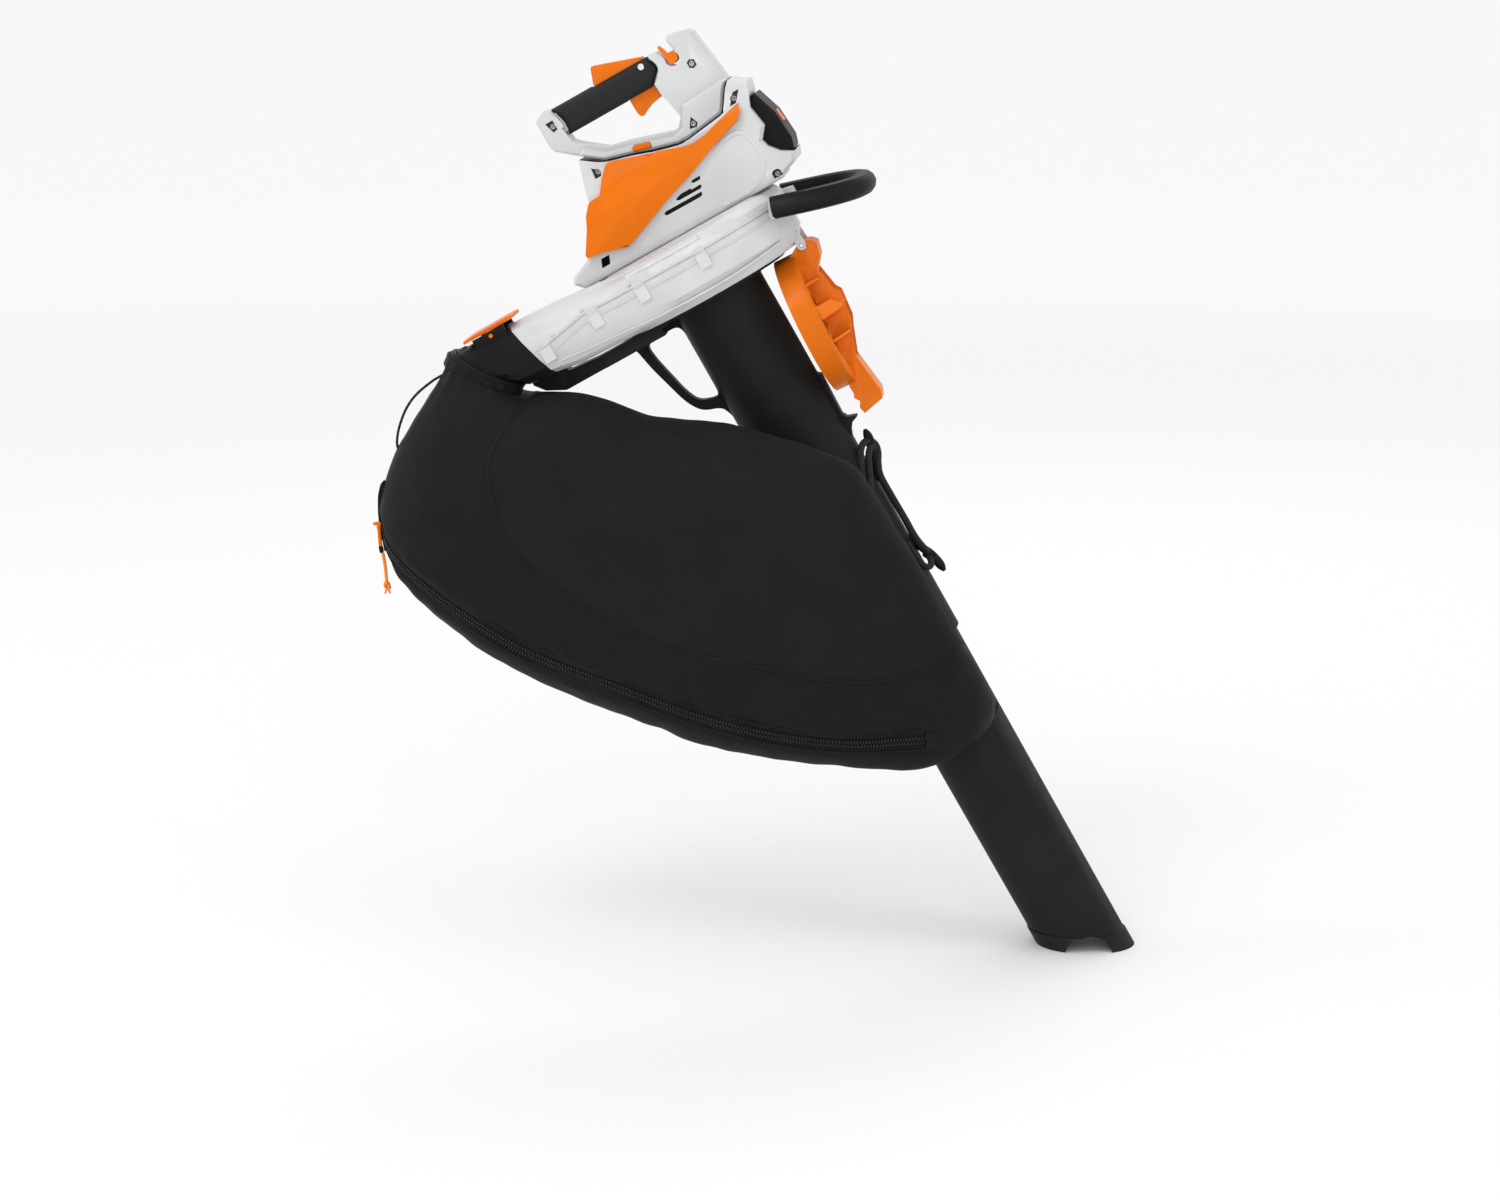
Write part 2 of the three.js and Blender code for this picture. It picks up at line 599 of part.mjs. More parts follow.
function voluteInner() {
  const profile = [[0, VOLUTE_FLOOR + WALL], [110, VOLUTE_FLOOR + WALL], [120, 30],
    [VOLUTE_R - WALL, 37], [VOLUTE_R - WALL, 79], [118.5, 86.4], [110, 89.2],
    [0, 89.2]];
  return turned(profile, [0, 0, 0], [0, 0, 1], DRUM_SIDES).add(outletPassage(-WALL));
}

// Everything under the seam, which drops along the outlet.
function underSeam(offset) {
  const line = [[300, SEAM], [-97, 69], [-132, 70], [-187, 60], [-300, 57]];
  const edge = line.map(([x, z]) => [x, z + offset]);
  return prism([...edge, [-300, -100], [300, -100]], -250, 250);
}

const CLIPS = [-191, -122, -60, 21]; // machine X of the clips along the seam

function clip(x) {
  const y = x < -31 ? OUTLET_Y - OUTLET_HALF_WIDTH : -Math.sqrt(VOLUTE_R ** 2 - x ** 2);
  const z = x < -180 ? 52 : SEAM - 9;
  return box([x - 7, y - 2.4, z - 10], [x + 7, y + 4, z + 7]);
}

function hingeLugs() {
  const [x, z] = GUARD_HINGE;
  const outline = [[x - 5.5, z], [x - 3, z - 5], [x + 3, z - 5], [x + 5.5, z], [x + 4, 31], [x - 5, 29]];
  const lugs = prism(outline, -28, -22.6).add(prism(outline, 22.6, 28));
  return lugs.subtract(rod(2.5 + GAP, [x, -30, z], [x, 30, z], 16));
}

function voluteShells() {
  const hollow = voluteOuter(0).subtract(voluteInner());
  let lower = hollow.intersect(underSeam(-HALF_GAP));
  lower = lower.subtract(rod(TUBE_R - 1, [0, 0, 0], [0, 0, 30], 32));
  lower = lower.add(hingeLugs().subtract(voluteInner()));
  for (const x of CLIPS) lower = lower.add(clip(x).intersect(underSeam(-HALF_GAP)).subtract(voluteInner()));
  let upper = hollow.subtract(underSeam(HALF_GAP));
  const bearingHole = rod(13 + GAP, [0, 0, 82], [0, 0, 99], 16).add(rod(7, [0, 0, 70], [0, 0, 99], 16));
  for (const side of [-1, 1]) upper = upper.add(bowBracket(side)).subtract(bowScrewHole(side));
  upper = upper.subtract(voluteInner()).add(rod(20, [0, 0, 80], [0, 0, 91], 16)).subtract(bearingHole);
  return { lower: lower.subtract(beyondOutletEnd(0)), upper: upper.subtract(beyondOutletEnd(0)) };
}

const SHAFT_R = 5;

function impeller() {
  const plate = turned([[0, 70], [104, 74], [104, 76.4], [0, 76.4]], [0, 0, 0], [0, 0, 1], 30);
  const hub = turned([[0, 40], [12, 40], [20, 68], [20, 78.6], [0, 78.6]], [0, 0, 0], [0, 0, 1], 20);
  let shape = plate.add(hub);
  const blades = 9;
  for (let i = 0; i < blades; i += 1) {
    const turn = (i / blades) * 2 * Math.PI;
    const outline = [[15, 46], [52, 42], [102, 36], [102, 75], [15, 75]];
    const geometry = extruded(outline, 3);
    geometry.rotateX(Math.PI / 2);
    geometry.rotateZ(turn);
    shape = shape.add(solid(geometry));
  }
  return shape.subtract(rod(SHAFT_R + GAP, [0, 0, 0], [0, 0, 100], 16));
}

function shredderBlade() {
  const outline = [[-49, -7], [-44, -9], [0, -6.5], [44, -9], [49, 5], [44, 9], [0, 6.5], [-44, 9]];
  return prismAlongZ(outline, 35.6, 38.4).subtract(rod(SHAFT_R + GAP, [0, 0, 30], [0, 0, 45], 16));
}

const fanNut = () => rod(10, [0, 0, 30], [0, 0, 35.2], 6)
  .subtract(rod(SHAFT_R + GAP, [0, 0, 25], [0, 0, 40], 16));

function motorCan() {
  const profile = [[24, 94], [40, 94], [40, 163], [36, 167], [11 + GAP, 167], [11 + GAP, 157],
    [24, 157], [24, 94]];
  return turned(profile, [0, 0, 0], [0, 0, 1], 24);
}

const rotor = () => turned([[SHAFT_R + GAP, 98], [22.6, 98], [22.6, 152], [SHAFT_R + GAP, 152],
  [SHAFT_R + GAP, 98]], [0, 0, 0], [0, 0, 1], 20);

const shaft = () => rod(SHAFT_R, [0, 0, 29], [0, 0, 168.5], 16);

// ---------------------------------------------------------------- bow handle

// The bow's own line: two straight legs and a half-ellipse between them, all sloping down.
function bowLine() {
  const [x0, z0] = BOW_START;
  const straight = 152;
  const height = (x) => z0 - (x - x0) * BOW_DROP;
  const half = [[x0, -BOW_HALF], [x0 + 18, -BOW_HALF]];
  for (let i = 0; i < 9; i += 1) {
    const turn = (i / 9) * (Math.PI / 2);
    const x = straight + (BOW_REACH - straight) * Math.sin(turn);
    half.push([x, -BOW_HALF * Math.cos(turn) ** 0.8]);
  }
  const points = [...half, [BOW_REACH, 0], ...[...half].reverse().map(([x, y]) => [x, -y])];
  return points.map(([x, y]) => [x, y, height(x)]);
}

const BOW_SCREW_X = 124;
const bowHeight = (x) => BOW_START[1] - (x - BOW_START[0]) * BOW_DROP;

function bowHandle() {
  let shape = bar(bowLine(), BOW_R, 12, 24);
  for (const side of [-1, 1]) {
    const z = bowHeight(BOW_SCREW_X);
    const from = [BOW_SCREW_X, side * 60, z];
    shape = shape.subtract(rod(2 + GAP, from, [BOW_SCREW_X, side * 85, z], 12));
    shape = shape.subtract(box([100, side * BOW_HALF - 8, 40], [112, side * BOW_HALF + 8, 90]));
  }
  return shape;
}

function bowBracket(side) {
  const outline = [[104, 60], [112, 78], [133, 74], [133, 58], [112, 56]];
  const [y0, y1] = side < 0 ? [-70.2, -44] : [44, 70.2];
  return prism(outline, y0, y1)
    .subtract(bowRoom(side))
    .subtract(voluteOuter(GAP).intersect(underSeam(HALF_GAP)));
}

// Room that the round leg takes out of its bracket's face.
function bowRoom(side) {
  const far = [150, side * BOW_HALF, bowHeight(150)];
  const near = [100, side * BOW_HALF, bowHeight(100)];
  return rod(BOW_R + GAP, near, far, 24);
}

function bowScrewHole(side) {
  const z = bowHeight(BOW_SCREW_X);
  const hole = rod(2 + GAP, [BOW_SCREW_X, side * 30, z], [BOW_SCREW_X, side * 90, z], 12);
  return hole.add(rod(4 + GAP, [BOW_SCREW_X, side * 30, z], [BOW_SCREW_X, side * 58, z], 12));
}

function bowScrew(side) {
  const z = bowHeight(BOW_SCREW_X);
  const profile = [[0, 0], [4, 0], [4, 3], [2, 3], [2, 23], [0, 24.5]];
  return turned(profile, [BOW_SCREW_X, side * 55, z], [0, side, 0], 12);
}

// ---------------------------------------------------------------- intake guard

const guardAxis = [-Math.cos(GUARD_TILT), 0, Math.sin(GUARD_TILT)];

const GUARD_SIDES = 26;

function guardTurned(profile, segments) {
  return turned(profile, [GUARD_RIM[0], 0, GUARD_RIM[1]], guardAxis, segments);
}

// Cross webs on the guard's outside, from its face out to the edge of its ribs.
const GUARD_WEBS = [
  [[94, -30], [116, -31.5], [117.6, -28.8], [94, -27]],
  [[93, -73.4], [123.6, -73.4], [126.2, -70], [116.5, -58], [94, -56.5]],
  [[92, -102.8], [118.2, -102.8], [119.4, -100.2], [92, -100.2]],
];
// Half width of the webs, wide at the guard's face and narrow at their outer edge, as X, Y.
const GUARD_WEB_PLAN = [[88, -60], [100, -60], [127, -30], [127, 30], [100, 60], [88, 60]];

function guard() {
  // Radius and distance from the rim plane: rim wall, then a flat face.
  const depth = 27.5;
  const skin = [[GUARD_R, 0], [GUARD_R, -25.6], [GUARD_R - 1.4, -depth], [0, -depth], [0, -24.7],
    [GUARD_R - 2.8, -24.7], [GUARD_R - 2.8, 0], [GUARD_R, 0]];
  let shape = guardTurned(skin, GUARD_SIDES);
  const openings = 10;
  const [cx, cz] = GUARD_RIM;
  for (let i = 0; i < openings; i += 1) {
    const turn = ((i + 0.5) / openings) * 2 * Math.PI;
    const half = Math.PI / openings;
    const outline = [[26, turn - half + 0.14], [68, turn - half + 0.06], [68, turn + half - 0.06],
      [26, turn + half - 0.14]].map(([r, a]) => [r * Math.cos(a), r * Math.sin(a)]);
    const geometry = extruded(outline, 60);
    geometry.rotateY(Math.PI / 2 + GUARD_TILT);
    geometry.translate(cx, 0, cz);
    shape = shape.subtract(solid(geometry));
  }
  const arm = [[94, -2], [98, 6.5], [106, 11.4], [111, 14], [113.6, 15.8], [117, 17.4], [121.5, 15.4],
    [128, 12.5], [133.4, 6.7], [129.5, -9], [119.2, -21.4], [112, -32], [96, -30]];
  const tab = [[90, -148], [106, -134], [109, -137], [114.6, -182.3], [111.4, -191.4], [84.7, -197.1],
    [82.5, -189], [86.5, -181.7], [82.1, -175.2], [84.4, -171.1], [84, -160], [88, -156]];
  const ribs = [[96, -28], [119.2, -21.4], [124.5, -51.3], [128.9, -57.8], [125.3, -90.8],
    [119.4, -103.7], [108.5, -132.8], [108.5, -150], [92, -150]];
  shape = shape.add(prism(arm, -21.5, 21.5)).add(prism(tab, -21.5, 21.5));
  shape = shape.add(prism(ribs, -21.5, -19)).add(prism(ribs, 19, 21.5));
  const plan = prismAlongZ(GUARD_WEB_PLAN, -120, 0);
  for (const web of GUARD_WEBS) shape = shape.add(prism(web, -62, 62).intersect(plan));
  const bowl = [[0, 1], [GUARD_R - 2.8, 1], [GUARD_R - 2.8, -24.7], [0, -24.7]];
  shape = shape.subtract(guardTurned(bowl, GUARD_SIDES));
  shape = shape.subtract(box([90, -16, -186], [107, 16, -150]));
  shape = shape.subtract(box([94, -17, -14], [122, 17, 2]));
  const [x, z] = GUARD_HINGE;
  return shape.subtract(rod(2.5 + GAP, [x, -30, z], [x, 30, z], 16));
}

const guardPin = () => rod(2.5, [GUARD_HINGE[0], -27.8, GUARD_HINGE[1]],
  [GUARD_HINGE[0], 27.8, GUARD_HINGE[1]], 16);

// ---------------------------------------------------------------- suction tube

const BRACE_OUTER = [[-60, 14], [-121, 14], [-121, 0], [-117.7, -3], [-112.8, -29.4], [-96.9, -84.7],
  [-84.9, -103.5], [-62.9, -110.2], [-57.5, -121], [-50, -146], [-40, -146], [-40, 14]];
const BRACE_ROOM = [[-104.7, -3.1], [-63, -0.4], [-56.9, -7.7], [-56.9, -94.3], [-62.9, -97.3],
  [-82.9, -90.6], [-90.9, -72.8], [-102.7, -23.4]];

// The outline with each corner rounded off, starting the given distance from it.
function roundedOutline(points, distance) {
  const steps = 4;
  return points.flatMap(([x, y], i) => {
    const [px, py] = points[(i + points.length - 1) % points.length];
    const [nx, ny] = points[(i + 1) % points.length];
    const before = Math.min(0.45, distance / Math.hypot(x - px, y - py));
    const after = Math.min(0.45, distance / Math.hypot(x - nx, y - ny));
    const [ax, ay] = [x + (px - x) * before, y + (py - y) * before];
    const [bx, by] = [x + (nx - x) * after, y + (ny - y) * after];
    const arc = [];
    for (let k = 0; k <= steps; k += 1) {
      const [u, v] = [k / steps, 1 - k / steps];
      arc.push([v * v * ax + 2 * u * v * x + u * u * bx, v * v * ay + 2 * u * v * y + u * u * by]);
    }
    return arc;
  });
}

function upperTube() {
  const profile = [[FLANGE_R, FLANGE_TOP], [FLANGE_R, FLANGE_BOTTOM], [TUBE_R + 3, FLANGE_BOTTOM],
    [TUBE_R, FLANGE_BOTTOM - 6], [TUBE_R, TUBE_SPLIT + 2], [TUBE_R - 1, TUBE_SPLIT], [50, TUBE_SPLIT],
    [50, FLANGE_TOP], [FLANGE_R, FLANGE_TOP]];
  let shape = turned(profile, [0, 0, 0], [0, 0, 1], 32);
  const brace = prism(roundedOutline(BRACE_OUTER, 14), -7.5, 7.5);
  shape = shape.add(brace.subtract(prism(roundedOutline(BRACE_ROOM, 9), -20, 20)));
  const socket = box([-150, -62, 0], [-70, -34, FLANGE_TOP]);
  const shelf = prismAlongZ([[-121, -62], [-121, 7.5], [-60, 7.5], [-60, -62]], 9, FLANGE_TOP);
  shape = shape.add(socket).add(shelf).subtract(box([-151, -59, 3], [-104, -37, 12.7]));
  const catchFin = [[54, -127.6], [60.5, -133.2], [59.8, -160], [59, -186.3], [62.4, -192.2],
    [73.4, -196], [73, -197.6], [64.2, -201], [59.6, -207.5], [54, -221]];
  shape = shape.add(prism(catchFin, -9, 9));
  return shape.subtract(rod(TUBE_R - TUBE_WALL, [0, 0, -500], [0, 0, 30], 32));
}

const footLine = (x, lift) => (GROUND + lift - x * sinLean) / cosLean;

function lowerTube() {
  const end = footLine(60, -20);
  const profile = [[LOWER_R, LOWER_TOP], [50.6, -850], [50.6, end], [47.8, end], [47.8, -850],
    [LOWER_R - 2.6, LOWER_TOP], [LOWER_R, LOWER_TOP]];
  const plain = turned(profile, [0, 0, 0], [0, 0, 1], 32);
  const rimBand = ringPipe(52, 49, [0, 0, end], [0, 0, -800], 32);
  const band = prism([[-80, footLine(-80, 19)], [80, footLine(80, 19)], [80, footLine(80, -40)],
    [-80, footLine(-80, -40)]], -80, 80);
  let shape = plain.add(rimBand.intersect(band));
  const below = [[-90, footLine(-90, 0)], [90, footLine(90, 0)], [90, -1100], [-90, -1100]];
  shape = shape.subtract(prism(below, -90, 90));
  return shape.subtract(footArch());
}

// The arch through both sides of the foot, level with the ground.
function footArch() {
  const [middle, half, height] = [445, 28, 20];
  const outline = [];
  for (let i = 0; i <= 8; i += 1) {
    const turn = (i / 8) * Math.PI;
    outline.push([middle - half * Math.cos(turn), GROUND + height * Math.sin(turn) ** 0.9]);
  }
  outline.push([middle + half + 3, GROUND - 10], [middle - half - 3, GROUND - 10]);
  return prism(outline.map(toMachine), -90, 90);
}

function supportArm() {
  const outline = [[-150.4, 0.3], [-204, 0.3], [-226, 11.5], [-236, 24], [-232, 42], [-197, 40],
    [-190, 19], [-150.4, 15.6]];
  const tongue = box([-151, -58.6, 3.4], [-106, -37.4, 12.3]);
  return prism(outline, -62, -34).add(tongue).subtract(elbowOuter(2 * GAP)).subtract(voluteOuter(GAP));
}

// ---------------------------------------------------------------- outlet elbow

// Middle X, Z, lean of the section, half height, half width and squareness, from the fan outwards.
const [NECK_X, NECK_Z] = toMachine(NECK);
const OUTLET_LEAN = Math.atan2(21, 72);
const NECK_LEAN = Math.PI / 2 - NECK_TURN - LEAN;
const ELBOW_RINGS = [
  [-208.2, 64.8, OUTLET_LEAN, 39.4, 38, 3.6],
  [-228, 65.8, 0.31, 40.8, 39.5, 3.8],
  [-250, 66.5, 0.45, 41.5, 40, 3.2],
  [NECK_X + 9 * Math.cos(NECK_LEAN), NECK_Z + 9 * Math.sin(NECK_LEAN), NECK_LEAN, NECK_R, NECK_R, 2],
  [NECK_X - 3 * Math.cos(NECK_LEAN), NECK_Z - 3 * Math.sin(NECK_LEAN), NECK_LEAN, NECK_R, NECK_R, 2],
];

function elbowRing([x, z, lean, halfHeight, halfWidth, power], grow) {
  const section = roundedSection(halfWidth + grow, halfHeight + grow, power, 20);
  return section.map(([y, h]) => [x - h * Math.sin(lean), OUTLET_Y + y, z + h * Math.cos(lean)]);
}

const elbowOuter = (grow) => loft(ELBOW_RINGS.map((ring) => elbowRing(ring, grow)));

function elbow() {
  const last = ELBOW_RINGS[ELBOW_RINGS.length - 1];
  const beyond = [last[0] - 40 * Math.cos(last[2]), last[1] - 40 * Math.sin(last[2]), ...last.slice(2)];
  const before = [-190, 66, ...ELBOW_RINGS[0].slice(2)];
  const bore = loft([before, ...ELBOW_RINGS, beyond].map((ring) => elbowRing(ring, -2.8)));
  const [x, z] = LATCH_PIN;
  const cheeks = [[-262, 90], [-262, 106.6], [-221, 106.6], [-221, 90]];
  let shape = elbowOuter(0);
  shape = shape.add(prism(cheeks, OUTLET_Y - 35, OUTLET_Y - 30.6));
  shape = shape.add(prism(cheeks, OUTLET_Y + 30.6, OUTLET_Y + 35));
  shape = shape.subtract(box([-280, OUTLET_Y - 30.5, 101.8], [-200, OUTLET_Y + 30.5, 120]));
  shape = shape.add(elbowOuter(0).intersect(box([-300, -130, 0], [-200, 0, 101.8])));
  shape = shape.subtract(bore).subtract(beyondOutletEnd(-GAP).subtract(box([-400, -200, -99],
    [-195, 100, 200]))).intersect(beyondOutletEnd(-GAP));
  const lever = box([x - 6, OUTLET_Y - 30.5, z - 5], [x + 6, OUTLET_Y + 30.5, z + 9]);
  shape = shape.subtract(rod(2.5 + GAP, [x, OUTLET_Y - 45, z], [x, OUTLET_Y + 45, z], 16));
  return shape.subtract(lever.intersect(box([-400, -200, 98.6], [0, 0, 200])));
}

function elbowLatch() {
  const [x, z] = LATCH_PIN;
  const plate = [[-273, 107.2], [-273, 110.6], [-268, 111.4], [-212, 111.4], [-208, 110.6],
    [-208, 107.2]];
  const knuckle = [[x - 4.5, 107.4], [x + 4.5, 107.4], [x + 4.2, z - 1], [x + 2, z - 2.4],
    [x - 2, z - 2.4], [x - 4.2, z - 1]];
  const shape = prism(plate, OUTLET_Y - 30, OUTLET_Y + 30).add(prism(knuckle, OUTLET_Y - 30,
    OUTLET_Y + 30));
  return shape.subtract(rod(2.5 + GAP, [x, OUTLET_Y - 45, z], [x, OUTLET_Y + 45, z], 16));
}

const latchPin = () => rod(2.5, [LATCH_PIN[0], OUTLET_Y - 36.5, LATCH_PIN[1]],
  [LATCH_PIN[0], OUTLET_Y + 36.5, LATCH_PIN[1]], 16);

// ---------------------------------------------------------------- bag and what is on it

const neckAxis = [-Math.sin(NECK_TURN), 0, -Math.cos(NECK_TURN)];
const neckPoint = (h) => [NECK[0] + neckAxis[0] * h, OUTLET_Y, NECK[1] + neckAxis[2] * h];

function neckRing() {
  const profile = [[NECK_R + 0.6, -8], [NECK_R + 4, -8], [NECK_R + 5.5, -5], [NECK_R + 5.5, 4],
    [NECK_R + 0.6, 4], [NECK_R + 0.6, -8]];
  return turned(profile, neckPoint(0), neckAxis, 24);
}

// Cross-sections of the full bag, from its neck to its tip, in upright axes: the upper and
// lower edge (X, Z), the middle of its thickness (Y) and half its thickness.
const BAG_SECTIONS = [
  [[-233.5, -101.3], [-309, -64.4], -84, 43],
  [[-226, -107], [-324, -83], -86, 50],
  [[-203, -101], [-360, -140.6], -90, 60],
  [[-168, -99.5], [-386, -194.5], -95, 68],
  [[-130, -105], [-393, -257], -102, 75],
  [[-84, -120.5], [-370, -319], -108, 78],
  [[-34, -126], [-317, -369.5], -114, 80],
  [[21, -131], [-241, -421.5], -120, 80],
  [[76, -143], [-141, -461], -126, 78],
  [[126, -155], [-34, -501], -131, 74],
  [[166, -176], [62, -523.5], -131, 68],
  [[196, -224], [151.5, -534.5], -123, 60],
  [[236, -288], [216, -538.5], -115, 52],
  [[276, -362], [264, -533], -107, 44],
  [[310, -417], [302, -511], -97, 34],
  [[326, -449], [321, -494], -85, 22],
  [[331, -463], [329, -480], -73, 9],
];
const BAG_SIDES = 20;
const BAG_POWER = 2.15;

// A point on the bag: turn 0 is the upper edge, 90 degrees the right side, 180 the lower edge.
function bagPoint([[tx, tz], [bx, bz], y, half], turn, grow = 0) {
  const [c, s] = [Math.cos(turn), Math.sin(turn)];
  const reach = (Math.abs(c) ** BAG_POWER + Math.abs(s) ** BAG_POWER) ** (-1 / BAG_POWER);
  const [ux, uz] = [(tx - bx) / 2, (tz - bz) / 2];
  const tall = Math.hypot(ux, uz);
  const along = (reach * c * (tall + grow)) / tall;
  return [(tx + bx) / 2 + ux * along, y - reach * s * (half + grow), (tz + bz) / 2 + uz * along];
}

function bagSolid(grow) {
  const rings = BAG_SECTIONS.map((section) => {
    const ring = [];
    for (let i = 0; i < BAG_SIDES; i += 1) {
      ring.push(bagPoint(section, (i / BAG_SIDES) * 2 * Math.PI, grow));
    }
    return ring;
  });
  return loft(rings);
}

const ZIP_FROM = 4;
const ZIP_TO = 13;
const ZIP_SLOT = 10.5; // half width of the slot in the bag that the zip tape lies in
// How far round from the lower edge the zip lies at each section, in degrees.
const ZIP_ANGLES = [6, 29.5, 35, 38, 39, 39.5, 39.5, 41.5, 49.5, 58];
const zipTurn = (i) => Math.PI - THREE.MathUtils.degToRad(ZIP_ANGLES[i - ZIP_FROM]);

// How far a point on the bag moves for a turn of one radian.
function turnReach(section, turn) {
  const [a, b] = [bagPoint(section, turn - 0.01), bagPoint(section, turn + 0.01)];
  return Math.hypot(b[0] - a[0], b[1] - a[1], b[2] - a[2]) / 0.02;
}

// The tape's place in the bag, from section to section, each end pushed on by the given share.
function zipTape(inner, outer, halfWidth, overrun = 0) {
  const rings = [];
  for (let i = ZIP_FROM; i <= ZIP_TO; i += 1) {
    const section = BAG_SECTIONS[i];
    const spread = halfWidth / turnReach(section, zipTurn(i));
    const turns = [zipTurn(i) - spread, zipTurn(i) + spread];
    rings.push([
      bagPoint(section, turns[0], inner), bagPoint(section, turns[1], inner),
      bagPoint(section, turns[1], outer), bagPoint(section, turns[0], outer),
    ]);
  }
  const pushed = (ring, next) => ring.map((p, k) => p.map((v, n) => v + (v - next[k][n]) * overrun));
  rings[0] = pushed(rings[0], rings[1]);
  rings.push(pushed(rings.pop(), rings.at(-1)));
  return loft(rings);
}

function bag() {
  return bagSolid(0).subtract(zipTape(-7, 16, ZIP_SLOT, 0.02));
}

const zipper = () => zipTape(-1.6, 0.8, 6.6);

// The zip's slider is parked at the tape's upper end, which it follows.
const SLIDER = [-392.5, -109, -262];

function zipSlider() {
  const [, y] = SLIDER;
  const place = ([along, out]) => [-391 + along * 0.188 - out * 0.982, -264 - along * 0.982 - out * 0.188];
  const outline = [[-9, 1.3], [9, 1.3], [9, 3.4], [4, 5.2], [-7, 5.2], [-9, 4.4]].map(place);
  return prism(outline, y - 5, y + 5);
}

function pullTab() {
  const [x, y, z] = SLIDER;
  const outline = [[x - 9.4, z + 12], [x - 2, z + 12], [x - 2, z + 8.6], [x - 5.9, z + 8.6],
    [x - 5.9, z - 12], [x - 3.4, z - 24], [x - 6.9, z - 24], [x - 9.4, z - 12]];
  return prism(outline, y - 3.5, y + 3.5);
}

const PULL_CORD = [[-397.2, -109, -288], [-394.6, -109, -298], [-391.6, -109, -309],
  [-389, -109, -318], [-387.6, -109, -325]];

function pullKnot() {
  const profile = [[0, 0], [3, 1], [4.6, 4], [4.2, 8], [2.6, 11], [0, 12]];
  return turned(profile, [-387.4, -109, -325.4], [0, 0, -1], 10);
}

// A thin cord that stands off the bag's front edge, both ends held by the bag.
const LOOP_CORD = [[-323.5, -98, -77], [-332, -101, -85.2], [-349, -103, -100],
  [-361.5, -104, -117.5], [-370, -104, -138.3], [-374.6, -103, -154], [-375, -102, -163]];

const webbing = () => prism([[-390.4, -204], [-389.2, -203.6], [-393.9, -226.6],
  [-396.6, -246.6], [-398.4, -246], [-395.7, -226]], -112, -92);

function upperHook() {
  const outline = [[57.3, -232], [57.3, -262], [60, -268.4], [66, -266], [67, -246], [75.4, -224],
    [75, -219], [71, -219.4], [62, -228]];
  return prism(outline, -4.6, 4.6);
}

function lowerHook() {
  const outline = [[57.3, -362], [57.3, -398], [62, -402], [70, -407.6], [77, -408], [79, -403],
    [71, -384], [67, -364], [61, -357.6]];
  return prism(outline, -4.6, 4.6);
}

const BUNGEE = [[63, -8.8, -248], [63.6, -8.8, -262], [64.6, -8.8, -285], [65.6, -8.8, -308],
  [66.6, -8.8, -331], [67.4, -8.8, -352], [67.8, -8.8, -366]];

// ---------------------------------------------------------------- assembly

function buildHandle() {
  const shells = handleShells();
  add("handle_shell_right", rightHalf(shells), WHITE);
  add("handle_shell_left", leftHalf(shells), WHITE);
  add("grip_sleeve", grip(), RUBBER);
  add("grip_pin", gripPin(), STEEL);
  add("trigger", trigger(), ORANGE);
  add("lockout_lever", lockout(), ORANGE);
  add("speed_lever", speedLever(), ORANGE);
  add("speed_lever_pin", speedPin(), STEEL);
  add("release_button", buttonSolid(0), ORANGE);
  add("trigger_spring", spring([34, 0, 271], [34, 0, 280.3], 4, 0.6, 3), STEEL);
  add("switch_module", switchModule(), BLACK);
}

function buildHousing() {
  const shells = housingShells();
  add("motor_housing_right", rightHalf(shells), WHITE);
  add("motor_housing_left", leftHalf(shells), WHITE);
  sidePanels();
  add("battery_pack", battery(), BLACK);
  add("battery_latch", latchSolid(0), ORANGE);
  add("battery_terminals", terminalBlock(), BLACK);
  add("control_board", controlBoard(), BOARD);
  add("motor_can", motorCan(), STEEL);
  for (const item of SCREWS) add(item.name, screw(item), STEEL);
}

function buildFan() {
  const { lower, upper } = voluteShells();
  add("fan_housing_lower", lower, WHITE);
  add("fan_housing_upper", upper, WHITE);
  add("fan_impeller", impeller(), BLACK);
  add("shredder_blade", shredderBlade(), STEEL);
  add("fan_nut", fanNut(), STEEL);
  add("motor_shaft", shaft(), STEEL);
  add("motor_rotor", rotor(), COPPER);
  add("shaft_bearing_lower", ringPipe(13, SHAFT_R + GAP, [0, 0, 82.4], [0, 0, 90.4], 16), STEEL);
  add("shaft_bearing_upper", ringPipe(11, SHAFT_R + GAP, [0, 0, 157.3], [0, 0, 165.3], 16), STEEL);
}

function buildFrontAndTube() {
  add("bow_handle", bowHandle(), RUBBER);
  add("bow_screw_right", bowScrew(-1), STEEL);
  add("bow_screw_left", bowScrew(1), STEEL);
  add("intake_guard", guard(), ORANGE);
  add("guard_hinge_pin", guardPin(), STEEL);
  add("suction_tube_upper", upperTube(), BLACK);
  add("suction_tube_lower", lowerTube(), BLACK);
  add("support_arm", supportArm(), BLACK);
  add("outlet_elbow", elbow(), BLACK);
  add("elbow_latch", elbowLatch(), ORANGE);
  add("elbow_latch_pin", latchPin(), ORANGE);
  add("hook_upper", upperHook(), BLACK);
  add("hook_lower", lowerHook(), BLACK);
  add("hook_cord", bar(BUNGEE, 3.7, 8, 6), FABRIC);
}

